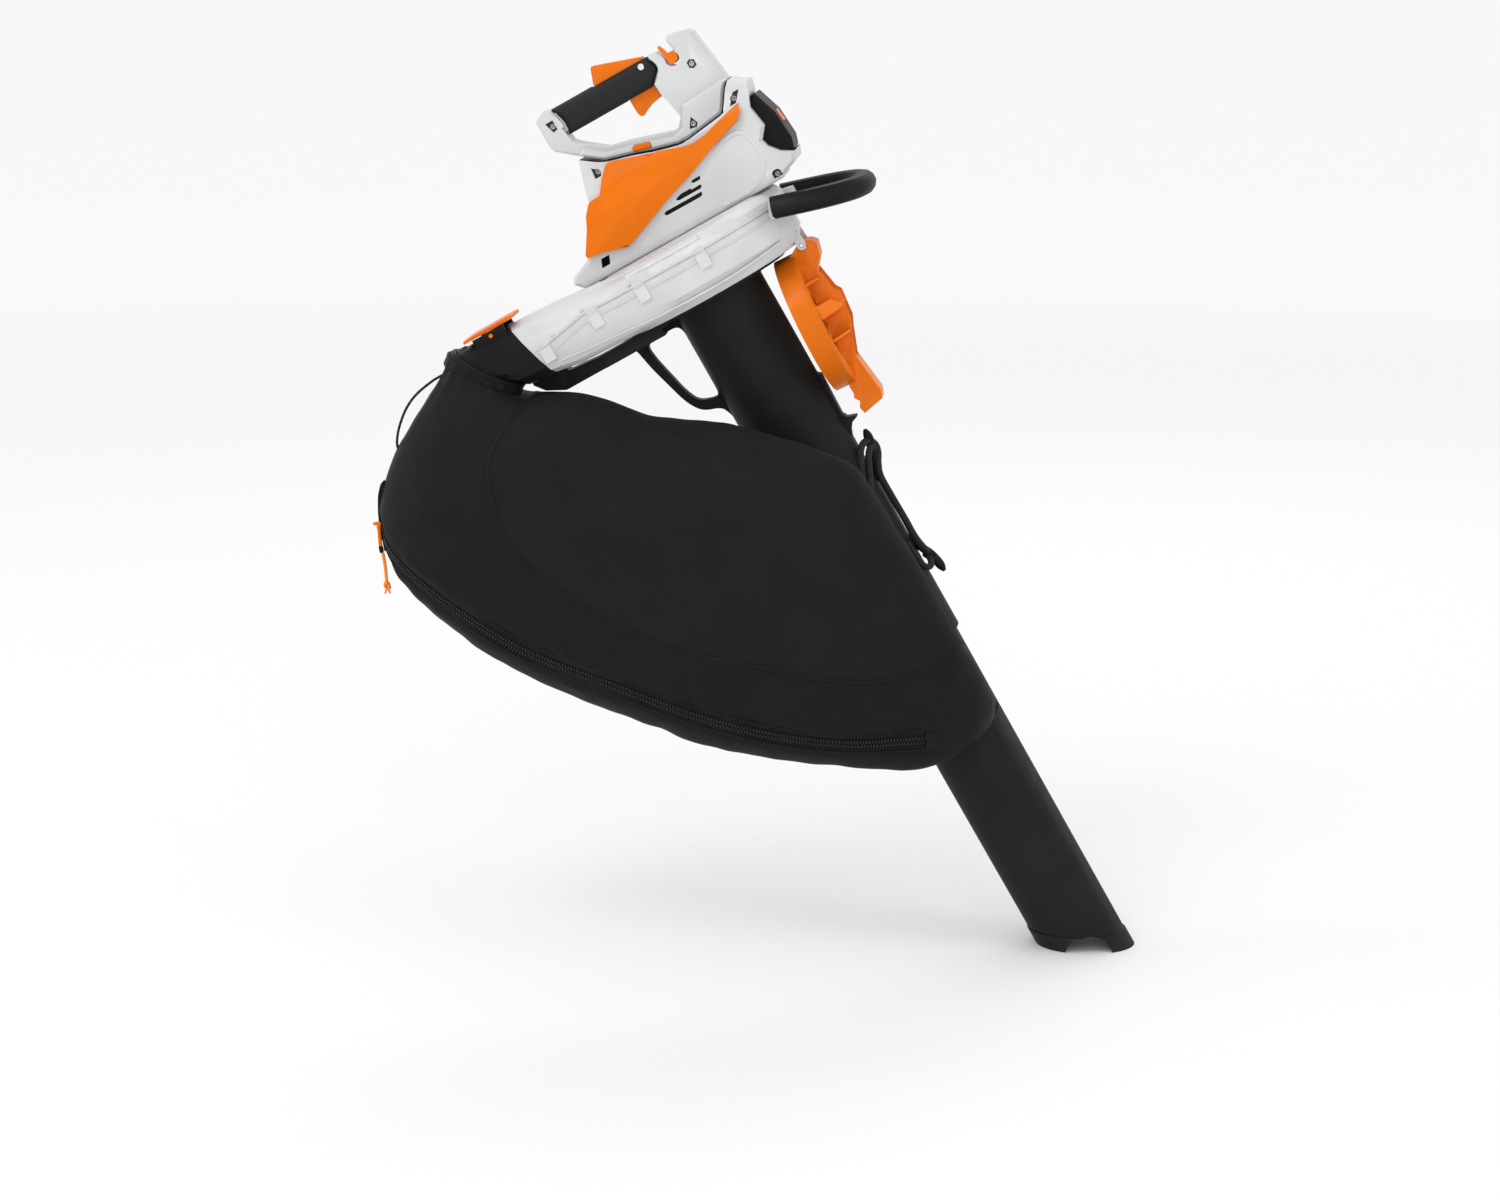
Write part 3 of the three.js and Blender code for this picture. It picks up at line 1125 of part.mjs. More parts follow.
function buildBag() {
  add("bag_neck_ring", neckRing(), BLACK, upright);
  add("bag_body", bag(), FABRIC, upright);
  add("bag_zipper", zipper(), BLACK, upright);
  add("zip_slider", zipSlider(), BLACK, upright);
  add("zip_pull_tab", pullTab(), ORANGE, upright);
  add("zip_pull_cord", bar(PULL_CORD, 2, 6, 6), ORANGE, upright);
  add("zip_pull_knot", pullKnot(), ORANGE, upright);
  add("bag_loop_cord", bar(LOOP_CORD, 1.6, 6, 14), BLACK, upright);
  add("bag_webbing", webbing(), FABRIC, upright);
}

buildHandle();
buildHousing();
buildFan();
buildFrontAndTube();
buildBag();

upright.add(machine);
const [gripX, gripZ] = GRIP_CENTRE;
upright.position.set(
  -(gripX * cosLean - gripZ * sinLean),
  0,
  -(gripX * sinLean + gripZ * cosLean),
);
const group = new THREE.Group();
group.add(upright);

export default group;
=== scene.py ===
"""Looks for the leaf vacuum mulcher: materials, studio, and the finely detailed pieces.

Pieces are drawn in millimetres, either in the machine frame (its Z runs up the fan and tube
axis) or upright, both from the zero on the fan's axis near the intake, and are then placed in
the model's own frame, in metres.
"""

import math

import bpy
import numpy as np
from mathutils import Matrix, Vector, noise
from mathutils.bvhtree import BVHTree
from mathutils.geometry import delaunay_2d_cdt
from mathutils.interpolate import poly_3d_calc


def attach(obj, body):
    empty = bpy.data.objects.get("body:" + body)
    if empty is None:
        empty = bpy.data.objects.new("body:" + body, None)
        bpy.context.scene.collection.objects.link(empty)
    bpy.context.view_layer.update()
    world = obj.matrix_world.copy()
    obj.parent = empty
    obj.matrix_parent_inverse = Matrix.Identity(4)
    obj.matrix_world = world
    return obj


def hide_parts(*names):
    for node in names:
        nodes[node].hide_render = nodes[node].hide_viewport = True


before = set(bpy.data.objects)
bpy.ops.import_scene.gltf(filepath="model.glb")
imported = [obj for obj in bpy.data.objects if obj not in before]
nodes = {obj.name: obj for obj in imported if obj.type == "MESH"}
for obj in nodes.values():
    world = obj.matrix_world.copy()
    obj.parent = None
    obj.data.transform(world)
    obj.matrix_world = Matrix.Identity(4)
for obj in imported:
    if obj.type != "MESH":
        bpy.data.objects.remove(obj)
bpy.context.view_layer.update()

LEAN = math.radians(29.55)  # the tube's axis to the vertical
OFFSET = Vector((133.02, 0.0, -240.72))  # where the drawing zero lies in the model's frame, mm
FLOOR = -1.01872  # the ground's height in the model's frame, m
CAMERA_AT = (0.5122, -4.3961, 0.2953)
CAMERA_TARGET = (0.1662, 0.0, -0.6019)
LIGHT_TARGET = (0.15, 0, -0.45)
UPRIGHT = Matrix.Scale(0.001, 4) @ Matrix.Translation(OFFSET)
MACHINE = UPRIGHT @ Matrix.Rotation(-LEAN, 4, "Y")


# ---------------------------------------------------------------- camera, floor and light

def studio():
    scene = bpy.context.scene
    scene.view_settings.view_transform = "Standard"
    camera = bpy.data.objects.new("camera", bpy.data.cameras.new("camera"))
    camera.location = CAMERA_AT
    target = Vector(CAMERA_TARGET)
    camera.rotation_euler = (target - camera.location).to_track_quat("-Z", "Y").to_euler()
    camera.data.lens = 90
    camera.data.sensor_width = 36
    camera.data.clip_end = 200
    scene.collection.objects.link(camera)
    scene.camera = camera

    world = bpy.data.worlds.new("studio")
    world.use_nodes = True
    background = world.node_tree.nodes["Background"]
    background.inputs["Color"].default_value = (1.0, 1.0, 1.0, 1)
    background.inputs["Strength"].default_value = 0.96
    scene.world = world

    def area(name, at, size, watts):
        light = bpy.data.lights.new(name, "AREA")
        light.shape = "RECTANGLE"
        light.size, light.size_y = size
        light.energy = watts
        lamp = bpy.data.objects.new(name, light)
        lamp.location = at
        facing = Vector(LIGHT_TARGET) - lamp.location
        lamp.rotation_euler = facing.to_track_quat("-Z", "Y").to_euler()
        scene.collection.objects.link(lamp)

    area("key", (-1.6, -2.4, 2.9), (1.4, 1.4), 40)
    area("front", (0.6, -3.8, 0.9), (2.2, 2.2), 30)
    area("side", (2.9, -1.2, 1.2), (0.7, 2.2), 7)
    area("rim", (0.6, 2.8, 2.0), (2.4, 1.0), 20)
    area("left", (-2.8, -0.4, 0.2), (0.7, 2.2), 14)


def mesh_object(name, verts, faces, place=None):
    mesh = bpy.data.meshes.new(name)
    mesh.from_pydata([tuple(v) for v in verts], [], [tuple(f) for f in faces])
    if place is not None:
        mesh.transform(place)
    mesh.update()
    thing = bpy.data.objects.new(name, mesh)
    bpy.context.scene.collection.objects.link(thing)
    return thing


studio()


# ---------------------------------------------------------------- materials

class Shader:
    """A Principled material with a few short-hands for building its procedural detail."""

    def __init__(self, name, colour, roughness, metallic=0.0, **more):
        self.material = bpy.data.materials.new(name)
        self.material.use_nodes = True
        self.tree = self.material.node_tree
        self.shader = self.tree.nodes["Principled BSDF"]
        self.set("Base Color", (*colour, 1))
        self.set("Roughness", roughness)
        self.set("Metallic", metallic)
        for socket, value in more.items():
            self.set(socket.replace("_", " "), value)
        self.place = self.add("ShaderNodeTexCoord").outputs["Object"]

    def set(self, socket, value):
        self.shader.inputs[socket].default_value = value

    def add(self, kind, **values):
        node = self.tree.nodes.new(kind)
        for name, value in values.items():
            setattr(node, name, value)
        return node

    def join(self, output, socket):
        self.tree.links.new(output, socket)

    def noise(self, scale, detail=3.0, roughness=0.55, where=None):
        node = self.add("ShaderNodeTexNoise")
        node.inputs["Scale"].default_value = scale
        node.inputs["Detail"].default_value = detail
        node.inputs["Roughness"].default_value = roughness
        self.join(where or self.place, node.inputs["Vector"])
        return node.outputs["Fac"]

    def math(self, operation, a, b=0.0, clamp=False):
        node = self.add("ShaderNodeMath", operation=operation, use_clamp=clamp)
        for socket, value in zip(node.inputs, (a, b)):
            if isinstance(value, (int, float)):
                socket.default_value = value
            else:
                self.join(value, socket)
        return node.outputs[0]

    def ranged(self, value, low, high, to_low=0.0, to_high=1.0):
        node = self.add("ShaderNodeMapRange")
        self.join(value, node.inputs["Value"])
        for name, number in (("From Min", low), ("From Max", high), ("To Min", to_low),
                             ("To Max", to_high)):
            node.inputs[name].default_value = number
        return node.outputs["Result"]

    def mixed(self, factor, a, b):
        node = self.add("ShaderNodeMix", data_type="RGBA")
        self.join(factor, node.inputs["Factor"])
        for socket, value in ((node.inputs[6], a), (node.inputs[7], b)):
            if isinstance(value, tuple):
                socket.default_value = (*value, 1)
            else:
                self.join(value, socket)
        return node.outputs[2]

    def colour(self, output):
        self.join(output, self.shader.inputs["Base Color"])

    def roughness(self, output):
        self.join(output, self.shader.inputs["Roughness"])

    def bump(self, height, strength, distance, after=None):
        node = self.add("ShaderNodeBump")
        node.inputs["Strength"].default_value = strength
        node.inputs["Distance"].default_value = distance
        self.join(height, node.inputs["Height"])
        if after is not None:
            self.join(after, node.inputs["Normal"])
        self.join(node.outputs["Normal"], self.shader.inputs["Normal"])
        return node.outputs["Normal"]


def moulded(name, colour, roughness, grain=0.12, spread=0.05, worn=None, **more):
    """Moulded plastic: fine spark grain, slight flow marks, roughness that wanders, and sharp
    edges lightened as a painted highlight.
    """
    made = Shader(name, colour, roughness, **more)
    fine = made.noise(1500, 2)
    broad = made.noise(14, 4)
    made.roughness(made.ranged(broad, 0.3, 0.7, roughness - spread, roughness + spread))
    darker = tuple(c * 0.93 for c in colour)
    lighter = worn or tuple(min(1, c * 1.04) for c in colour)
    patch = made.mixed(made.ranged(broad, 0.35, 0.65), darker, lighter)
    # Sharp edges, found by pointiness and broken up by noise, are lightened: a painted highlight
    # where rounded edges would catch the light.
    edge = made.add("ShaderNodeNewGeometry").outputs["Pointiness"]
    edge_highlight = made.math("MULTIPLY", made.ranged(edge, 0.53, 0.62), made.noise(60, 4), clamp=True)
    edge_highlight_colour = tuple(min(1, c * 1.25 + 0.02) for c in colour)
    made.colour(made.mixed(edge_highlight, patch, edge_highlight_colour))
    made.bump(fine, grain, 0.0004)
    return made.material


def metal(name, colour, roughness, lines=600):
    """Machined metal: fine drawn lines and a little tarnish."""
    made = Shader(name, colour, roughness, 1.0)
    stretch = made.add("ShaderNodeMapping")
    stretch.inputs["Scale"].default_value = (1, 14, 1)
    made.join(made.place, stretch.inputs["Vector"])
    drawn = made.noise(lines, 3, where=stretch.outputs["Vector"])
    made.roughness(made.ranged(drawn, 0.3, 0.7, roughness - 0.08, roughness + 0.12))
    made.colour(made.mixed(made.ranged(made.noise(90), 0.4, 0.7), colour,
                           tuple(c * 0.8 for c in colour)))
    made.bump(drawn, 0.08, 0.0002)
    return made.material


def woven(name, colour, roughness, pitch=0.0011, tint=None, sheen=0.05, gloss=0.15):
    """Plain-woven synthetic cloth: threads over and under, with slubs and soft patches."""
    made = Shader(name, colour, roughness, Sheen_Weight=sheen, Sheen_Roughness=0.45,
                  Specular_IOR_Level=gloss)
    height = weave_height(made, pitch)
    soft = made.noise(22, 5)
    made.colour(made.mixed(made.ranged(soft, 0.3, 0.7), colour,
                           tint or tuple(c * 1.5 for c in colour)))
    made.bump(height, 0.35, 0.0004)
    return made.material


def weave_height(made, pitch):
    split = made.add("ShaderNodeSeparateXYZ")
    made.join(made.place, split.inputs[0])
    turn = 2 * math.pi / pitch
    across = made.math("SINE", made.math("MULTIPLY", made.math(
        "ADD", split.outputs["X"], made.math("MULTIPLY", split.outputs["Y"], 0.8)), turn))
    along = made.math("SINE", made.math("MULTIPLY", split.outputs["Z"], turn))
    over = made.math("MULTIPLY", across, along)
    slub = made.math("MULTIPLY", made.noise(900, 2), 0.6)
    return made.math("ADD", made.math("MULTIPLY", over, 0.5), slub)


WHITE = moulded("white_plastic", (0.52, 0.525, 0.53), 0.34, grain=0.08, Specular_IOR_Level=0.35)
ORANGE = moulded("orange_plastic", (0.655, 0.138, 0.0004), 0.36, grain=0.08,
                 Specular_IOR_Level=0.12)
BLACK = moulded("black_plastic", (0.0070, 0.0077, 0.0075), 0.46, grain=0.2,
                worn=(0.0090, 0.0096, 0.0094), Specular_IOR_Level=0.07)
SATIN = moulded("tube_plastic", (0.0138, 0.0148, 0.0144), 0.52, grain=0.16,
                worn=(0.0160, 0.0170, 0.0166), Specular_IOR_Level=0.055)
RUBBER = moulded("soft_rubber", (0.0175, 0.0190, 0.0185), 0.6, grain=0.5, spread=0.08,
                 Specular_IOR_Level=0.10)
DARK_CLOTH = woven("webbing_cloth", (0.0062, 0.0066, 0.0065), 0.8, pitch=0.0016, sheen=0.01,
                   gloss=0.05)
STEEL = metal("bright_steel", (0.62, 0.63, 0.64), 0.28)
COPPER = metal("copper_winding", (0.50, 0.21, 0.08), 0.35, 900)
BOARD = moulded("circuit_board", (0.015, 0.11, 0.04), 0.4)
CORD = woven("orange_cord", (0.85, 0.20, 0.012), 0.7, pitch=0.0012, tint=(0.95, 0.26, 0.02))

DARK_STEEL = metal("dark_screw_steel", (0.42, 0.42, 0.43), 0.34)
# A dark grey for the floors of the screw pockets: painted shade for the shadow deep in the white
# pockets.
SHADE = moulded("pocket_painted_shade", (0.060, 0.060, 0.062), 0.7, grain=0.1, Specular_IOR_Level=0.2)
LABEL = moulded("plain_label_film", (0.50, 0.505, 0.51), 0.4, grain=0.02,
                Specular_IOR_Level=0.2)
DARK_CORD = woven("dark_cord", (0.012, 0.012, 0.013), 0.65, pitch=0.0010)
THREAD = woven("dark_thread", (0.0100, 0.0106, 0.0104), 0.6, pitch=0.0006, sheen=0.01,
               gloss=0.05)
TEETH = moulded("zip_teeth_nylon", (0.0125, 0.0135, 0.0132), 0.34, grain=0.05,
                Specular_IOR_Level=0.25)
BAND_CLOTH = woven("band_cloth", (0.0064, 0.0070, 0.0068), 0.58, pitch=0.0009, sheen=0.01,
                   gloss=0.08)


def bag_cloth():
    """Coated polyester: a matt side panel and a slightly glossier band outside its seam."""
    made = Shader("bag_cloth", (0.0125, 0.0125, 0.013), 0.6, Sheen_Weight=0.01,
                  Sheen_Roughness=0.5, Specular_IOR_Level=0.06)
    seam = made.add("ShaderNodeAttribute", attribute_name="seam_mm").outputs["Fac"]
    panel = made.ranged(seam, -0.5, 0.5)
    soft = made.noise(18, 5)
    band = made.mixed(made.ranged(soft, 0.3, 0.7), (0.0075, 0.0082, 0.0080),
                      (0.0100, 0.0108, 0.0105))
    side = made.mixed(made.ranged(soft, 0.3, 0.7), (0.0092, 0.0101, 0.0098),
                      (0.0122, 0.0132, 0.0128))
    dust = made.ranged(made.noise(260, 4), 0.62, 0.8)
    base = made.mixed(panel, band, side)
    made.colour(made.mixed(made.math("MULTIPLY", dust, 0.10), base, (0.035, 0.035, 0.035)))
    rough = made.ranged(panel, 0, 1, 0.56, 0.78)
    made.roughness(made.math("ADD", rough, made.ranged(soft, 0.3, 0.7, -0.05, 0.05)))
    weave = made.bump(weave_height(made, 0.0013), 0.4, 0.0004)
    crease = made.noise(34, 3)
    made.bump(crease, 0.25, 0.004, after=weave)
    return made.material


BAG_CLOTH = bag_cloth()

NODE_LOOKS = {
    WHITE: "handle_shell_right handle_shell_left motor_housing_right motor_housing_left"
           " fan_housing_lower fan_housing_upper",
    ORANGE: "trigger lockout_lever speed_lever release_button side_panel_right side_panel_left"
            " battery_latch intake_guard elbow_latch elbow_latch_pin zip_pull_tab",
    BLACK: "switch_module battery_pack battery_terminals fan_impeller support_arm outlet_elbow"
           " hook_upper hook_lower bag_neck_ring zip_slider bow_handle",
    SATIN: "suction_tube_upper suction_tube_lower",
    RUBBER: "grip_sleeve",
    DARK_CLOTH: "bag_webbing bag_loop_cord hook_cord bag_body bag_zipper",
    STEEL: "grip_pin speed_lever_pin trigger_spring screw_handle_front screw_handle_rear"
           " screw_handle_base screw_housing_front screw_housing_rear screw_housing_low"
           " shredder_blade fan_nut motor_shaft shaft_bearing_lower shaft_bearing_upper"
           " bow_screw_right bow_screw_left guard_hinge_pin motor_can",
    BOARD: "control_board",
    COPPER: "motor_rotor",
    CORD: "zip_pull_cord zip_pull_knot",
}
PLAIN_BEVEL = 0.35
BEVELS = {  # mm, where an edge is rounder than that
    "handle_shell_right": 1.2, "handle_shell_left": 1.2, "motor_housing_right": 1.1,
    "motor_housing_left": 1.1, "fan_housing_lower": 0.8, "fan_housing_upper": 0.8,
    "side_panel_right": 0.7, "side_panel_left": 0.7, "grip_sleeve": 1.6, "trigger": 1.6,
    "lockout_lever": 1.4, "intake_guard": 0.9, "battery_pack": 1.2, "outlet_elbow": 1.0,
    "suction_tube_upper": 1.0, "suction_tube_lower": 0.9, "support_arm": 2.2, "elbow_latch": 1.0,
    "hook_upper": 2.0, "hook_lower": 2.0, "release_button": 0.7,
}


def paint(thing, material):
    thing.data.materials.clear()
    thing.data.materials.append(material)


def smooth_shade(thing):
    thing.data.polygons.foreach_set("use_smooth", [True] * len(thing.data.polygons))


def bevel_edges(thing, width, angle):
    """Rounds each edge that turns by more than angle degrees, as a modifier; width is in mm."""
    edge = thing.modifiers.new("edge", "BEVEL")
    edge.width = width / 1000
    edge.segments = 2
    edge.limit_method = "ANGLE"
    edge.angle_limit = math.radians(angle)
    edge.use_clamp_overlap = True
    edge.harden_normals = True


def soften(thing, width):
    """Rounded edges and clean shading on a faceted solid, as modifiers."""
    mesh = thing.data
    if "custom_normal" in mesh.attributes:
        mesh.attributes.remove(mesh.attributes["custom_normal"])
    smooth_shade(thing)
    weld = thing.modifiers.new("weld", "WELD")
    weld.merge_threshold = 2e-5
    join = thing.modifiers.new("join", "DECIMATE")
    join.decimate_type = "DISSOLVE"
    join.angle_limit = math.radians(1)
    bevel_edges(thing, width, 30)


def dress_nodes():
    for material, names in NODE_LOOKS.items():
        for name in names.split():
            paint(nodes[name], material)
            soften(nodes[name], BEVELS.get(name, PLAIN_BEVEL))


dress_nodes()


def ground():
    """A wide pale floor, painted darker near the object where the lamps' light pools, so that its
    soft shadow shows.
    """
    side = 60
    floor = mesh_object("floor", [(-side, -side, FLOOR), (side, -side, FLOOR), (side, side, FLOOR),
                                  (-side, side, FLOOR)], [(0, 1, 2, 3)])
    made = Shader("pale_floor", (0.93, 0.93, 0.93), 0.7)
    made.roughness(made.ranged(made.noise(3), 0.3, 0.7, 0.65, 0.8))
    where = made.add("ShaderNodeNewGeometry").outputs["Position"]
    away = made.add("ShaderNodeVectorMath", operation="LENGTH")
    made.join(where, away.inputs[0])
    # Painted shade: the floor's colour darkens towards the object to offset the pool of lamp light
    # there.
    pool = made.ranged(away.outputs["Value"], 1.3, 7.0)
    made.colour(made.mixed(pool, (0.785, 0.785, 0.785), (0.975, 0.975, 0.975)))
    paint(floor, made.material)


# ---------------------------------------------------------------- shapes along a path

def catmull(rows, at):
    """The smooth curve through the rows, at a fractional row number."""
    i = min(max(int(at), 0), len(rows) - 2)
    f = at - i
    p1, p2 = rows[i], rows[i + 1]
    p0 = rows[i - 1] if i > 0 else 2 * p1 - p2
    p3 = rows[i + 2] if i + 2 < len(rows) else 2 * p2 - p1
    return 0.5 * (2 * p1 + (p2 - p0) * f + (2 * p0 - 5 * p1 + 4 * p2 - p3) * f ** 2
                  + (3 * p1 - 3 * p2 + p3 - p0) * f ** 3)


def smooth_path(points, step):
    """Evenly spaced points, about a step apart, on the smooth curve through the points."""
    rows = [np.array(p, float) for p in points]
    fine = [catmull(rows, k / 40) for k in range(40 * (len(rows) - 1) + 1)]
    reach = [0.0]
    for a, b in zip(fine, fine[1:]):
        reach.append(reach[-1] + float(np.linalg.norm(b - a)))
    count = max(2, round(reach[-1] / step))
    marks = np.linspace(0, reach[-1], count + 1)
    columns = np.array(fine).T
    return [Vector(p) for p in np.array([np.interp(marks, reach, c) for c in columns]).T]


def tangents(points):
    last = len(points) - 1
    return [(points[min(i + 1, last)] - points[max(i - 1, 0)]).normalized()
            for i in range(last + 1)]


def running_length(points):
    reach = [0.0]
    for a, b in zip(points, points[1:]):
        reach.append(reach[-1] + (b - a).length)
    return reach


def ring_faces(ring, sides):
    """The faces between one closed ring of vertices and the next."""
    ahead = [(j + 1) % sides for j in range(sides)]
    a, b = ring * sides, (ring + 1) * sides
    return [(a + j, a + k, b + k, b + j) for j, k in enumerate(ahead)]


def sweep(path, outline, normals=None):
    """Verts and faces of a closed outline carried along a path.

    The outline is a list of (side, out) pairs, or a function that gives one for each point.
    """
    verts, faces = [], []
    up = Vector((0, 1, 0))
    for i, (at, along) in enumerate(zip(path, tangents(path))):
        up = normals[i] if normals else up
        across = along.cross(up).normalized()
        up = across.cross(along).normalized()
        shape = outline(i) if callable(outline) else outline
        verts += [at + across * s + up * h for s, h in shape]
    sides = len(shape)
    for i in range(len(path) - 1):
        faces += ring_faces(i, sides)
    faces.append(tuple(reversed(range(sides))))
    faces.append(tuple(range((len(path) - 1) * sides, len(path) * sides)))
    return verts, faces


def circle(radius, sides=12):
    return [(radius * math.cos(a), radius * math.sin(a))
            for a in (2 * math.pi * k / sides for k in range(sides))]


def ribbon(half, height, root=0.5):
    """A low rounded strip, its root sunk below the surface it lies on."""
    return [(-half, -root), (-half * 0.92, height * 0.6), (-half * 0.6, height),
            (half * 0.6, height), (half * 0.92, height * 0.6), (half, -root)]


class Heap:
    """Collects many small shapes into one mesh."""

    def __init__(self):
        self.verts, self.faces = [], []

    def add(self, shape):
        verts, faces = shape
        start = len(self.verts)
        self.verts += verts
        self.faces += [tuple(i + start for i in face) for face in faces]

    def build(self, name, material, place, body="machine", slot=None, bevel=0.0):
        thing = mesh_object(name, self.verts, self.faces, place)
        smooth_shade(thing)
        paint(thing, material)
        if bevel:
            soften(thing, bevel)
        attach(thing, body)
        return thing


# Each ring's place along a capsule and its radius, as shares of the whole.
CAPSULE_RINGS = [(0.0, 0.35), (0.12, 0.85), (0.3, 1.0), (0.7, 1.0), (0.88, 0.85), (1.0, 0.35)]


def capsule(start, end, radius, sides=6, flat=1.0, up=None):
    """A short rod with rounded ends, such as one stitch or one zip tooth."""
    along = end - start
    path = [start + along * f for f, _ in CAPSULE_RINGS]
    outlines = [[(s * r, h * r * flat) for s, h in circle(radius, sides)]
                for _, r in CAPSULE_RINGS]
    normals = [up or Vector((0, 1, 0.3))] * len(CAPSULE_RINGS)
    return sweep(path, lambda i: outlines[i], normals)


# ---------------------------------------------------------------- cords

CORD_STEP = 3.0  # mm between the points of the cord's path in metres, as braided returns it
SKIN_STEP = 1.2  # mm between the rings of its mesh
LOBE_DEPTH = 0.10  # of the radius
PULL_CORD = [(-391.4, -117, -284), (-389.8, -117, -290), (-388.2, -116, -301),
             (-387.3, -115, -312), (-386.6, -115, -322)]
LOOP_CORD = [(-312, -97, -76.4), (-318, -99, -78.6), (-331, -101, -86.2), (-349, -103, -101.2),
             (-361, -104, -117.5), (-369.5, -104, -138.3), (-373.3, -102, -156.1),
             (-372.4, -99, -168), (-368, -95, -177)]
# From the bag, round the upper hook, down the tube and round the lower hook.
HOOK_CORD = [(37, -45, -285), (42, -37, -271), (50, -28, -251), (57, -19, -235.5),
             (64, -10, -229), (71, -1, -231), (74, 5.5, -239), (72, 4, -249), (67, -4, -259),
             (62.6, -8.8, -273),
             (62.3, -8.8, -300), (62.8, -8.8, -331), (62.8, -8.8, -356), (65, -9, -371),
             (66, -4, -380), (62, 5, -384)]
HOOK_LOOP = [(45, -36, -284), (50, -30, -273), (57, -22, -257), (63, -15, -244), (68, -8, -238),
             (72, -2, -239)]
LOWER_LOOP = [(52, -16, -358), (53.5, -18, -372), (54.5, -19, -385), (58, -17, -394),
              (63, -12, -395.5), (65.5, -6, -390), (64, 0, -383)]


def braided(name, points, place, radius, material, strands=2, lay=16.0, sides=16):
    """A round braided cord, whose lobes wind along it, and its path in metres."""
    path = smooth_path(points, SKIN_STEP)

    def skin(i):
        turn = 2 * math.pi * i * SKIN_STEP / lay
        shape = []
        for k in range(sides):
            a = 2 * math.pi * k / sides
            lobe = 1 - LOBE_DEPTH * (1 - abs(math.cos(strands * (a + turn))))
            shape.append((radius * lobe * math.cos(a), radius * lobe * math.sin(a)))
        return shape

    heap = Heap()
    heap.add(sweep(path, skin))
    thing = mesh_object(name, heap.verts, heap.faces, place)
    smooth_shade(thing)
    paint(thing, material)
    line = [place @ p for p in smooth_path(points, CORD_STEP)]
    return thing, line


def add_cords():
    pull, line = braided("pull_cord", PULL_CORD, UPRIGHT, 2.0, CORD)
    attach(pull, "zip")
    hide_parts("zip_pull_cord")
    knot = pull_knot()

    loop, line = braided("loop_cord", LOOP_CORD, UPRIGHT, 1.6, DARK_CORD, 3, 9)
    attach(loop, "machine")
    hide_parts("bag_loop_cord")

    bungee, line = braided("bungee_cord", HOOK_CORD, MACHINE, 4.4, DARK_CORD, 4, 14, 20)
    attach(bungee, "machine")
    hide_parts("hook_cord")
    for name, points in (("hook_loop_upper", HOOK_LOOP), ("hook_loop_lower", LOWER_LOOP)):
        strand, line = braided(name, points, MACHINE, 4.1, DARK_CORD, 4, 14, 20)
        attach(strand, "machine")


def horn(name, points, radii, node):
    """A moulded hook: a tapering round arm with a blunt end."""
    path = smooth_path(points, 1.5)
    rows = [np.array([r], float) for r in radii]
    shapes = []
    for i in range(len(path)):
        r = float(catmull(rows, i / (len(path) - 1) * (len(rows) - 1))[0])
        shapes.append([(s * 0.9, h) for s, h in circle(max(r, 0.4), 20)])
    heap = Heap()
    heap.add(sweep(path, lambda i: shapes[i]))
    piece = heap.build(name, BLACK, MACHINE, slot="black_plastic")
    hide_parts(node)


def make_hooks():
    radii = (8.5, 7.8, 7.0, 6.2, 5.8, 5.6, 5.8, 6.1, 6.3, 6.5, 6.4, 6.2, 5.0, 2.2)
    horn("hook_arm_upper", [(50, 0, -277), (57.5, 0, -268), (63.5, 0, -257), (67.5, 0, -246),
                            (70.2, 0, -235), (71.8, 0, -225), (72.4, 0, -216)],
         radii, "hook_upper")
    horn("hook_arm_lower", [(50, 0, -353), (56, 0, -362), (62.5, 0, -373), (67.5, 0, -384),
                            (70.5, 0, -395), (72, 0, -403), (73, 0, -411)],
         radii, "hook_lower")


def make_pull_tab():
    """The orange toggle: a cross bar, its stem, and the dark end that holds the cord."""
    toggle = Heap()
    toggle.add(capsule(Vector((-401.2, -118, -252.8)), Vector((-386, -118, -252.8)), 2.3, 14))
    stem = [(-393.9, -118, -252.8), (-393.7, -118, -262), (-393.2, -117.5, -272),
            (-392.5, -117, -281)]
    toggle.add(sweep(smooth_path(stem, 1.5), circle(2.2, 14)))
    tab = toggle.build("pull_toggle", ORANGE, UPRIGHT, "zip", "orange_plastic")
    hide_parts("zip_pull_tab")
    end = Heap()
    end.add(capsule(Vector((-392.9, -117, -278)), Vector((-391.0, -117, -288.5)), 2.7, 14))
    end.build("pull_toggle_end", BLACK, UPRIGHT, "zip", "black_plastic")


# The webbing tail's middle line: X, Z, half width.
STRAP = [(-387.2, -203, 1.5), (-389.5, -209, 4), (-391.2, -222, 5.6), (-391.6, -240, 5.6),
         (-391, -256, 4.8), (-389.2, -272, 3.6), (-388, -287, 2)]


def make_strap():
    """The webbing tail sewn into the bag's edge, behind the pull toggle."""
    path = smooth_path([(x, -108, z) for x, z, _ in STRAP], 2.0)
    heights = [-z for _, z, _ in STRAP]
    halves = [float(np.interp(-p.z, heights, [w for _, _, w in STRAP])) for p in path]
    heap = Heap()
    facing = [Vector((-0.3, -1, 0))] * len(path)
    heap.add(sweep(path, lambda i: ribbon(halves[i], 1.4, 0.4), facing))
    strap = heap.build("bag_strap", DARK_CLOTH, UPRIGHT, slot="bag_fabric")
    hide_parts("bag_webbing")


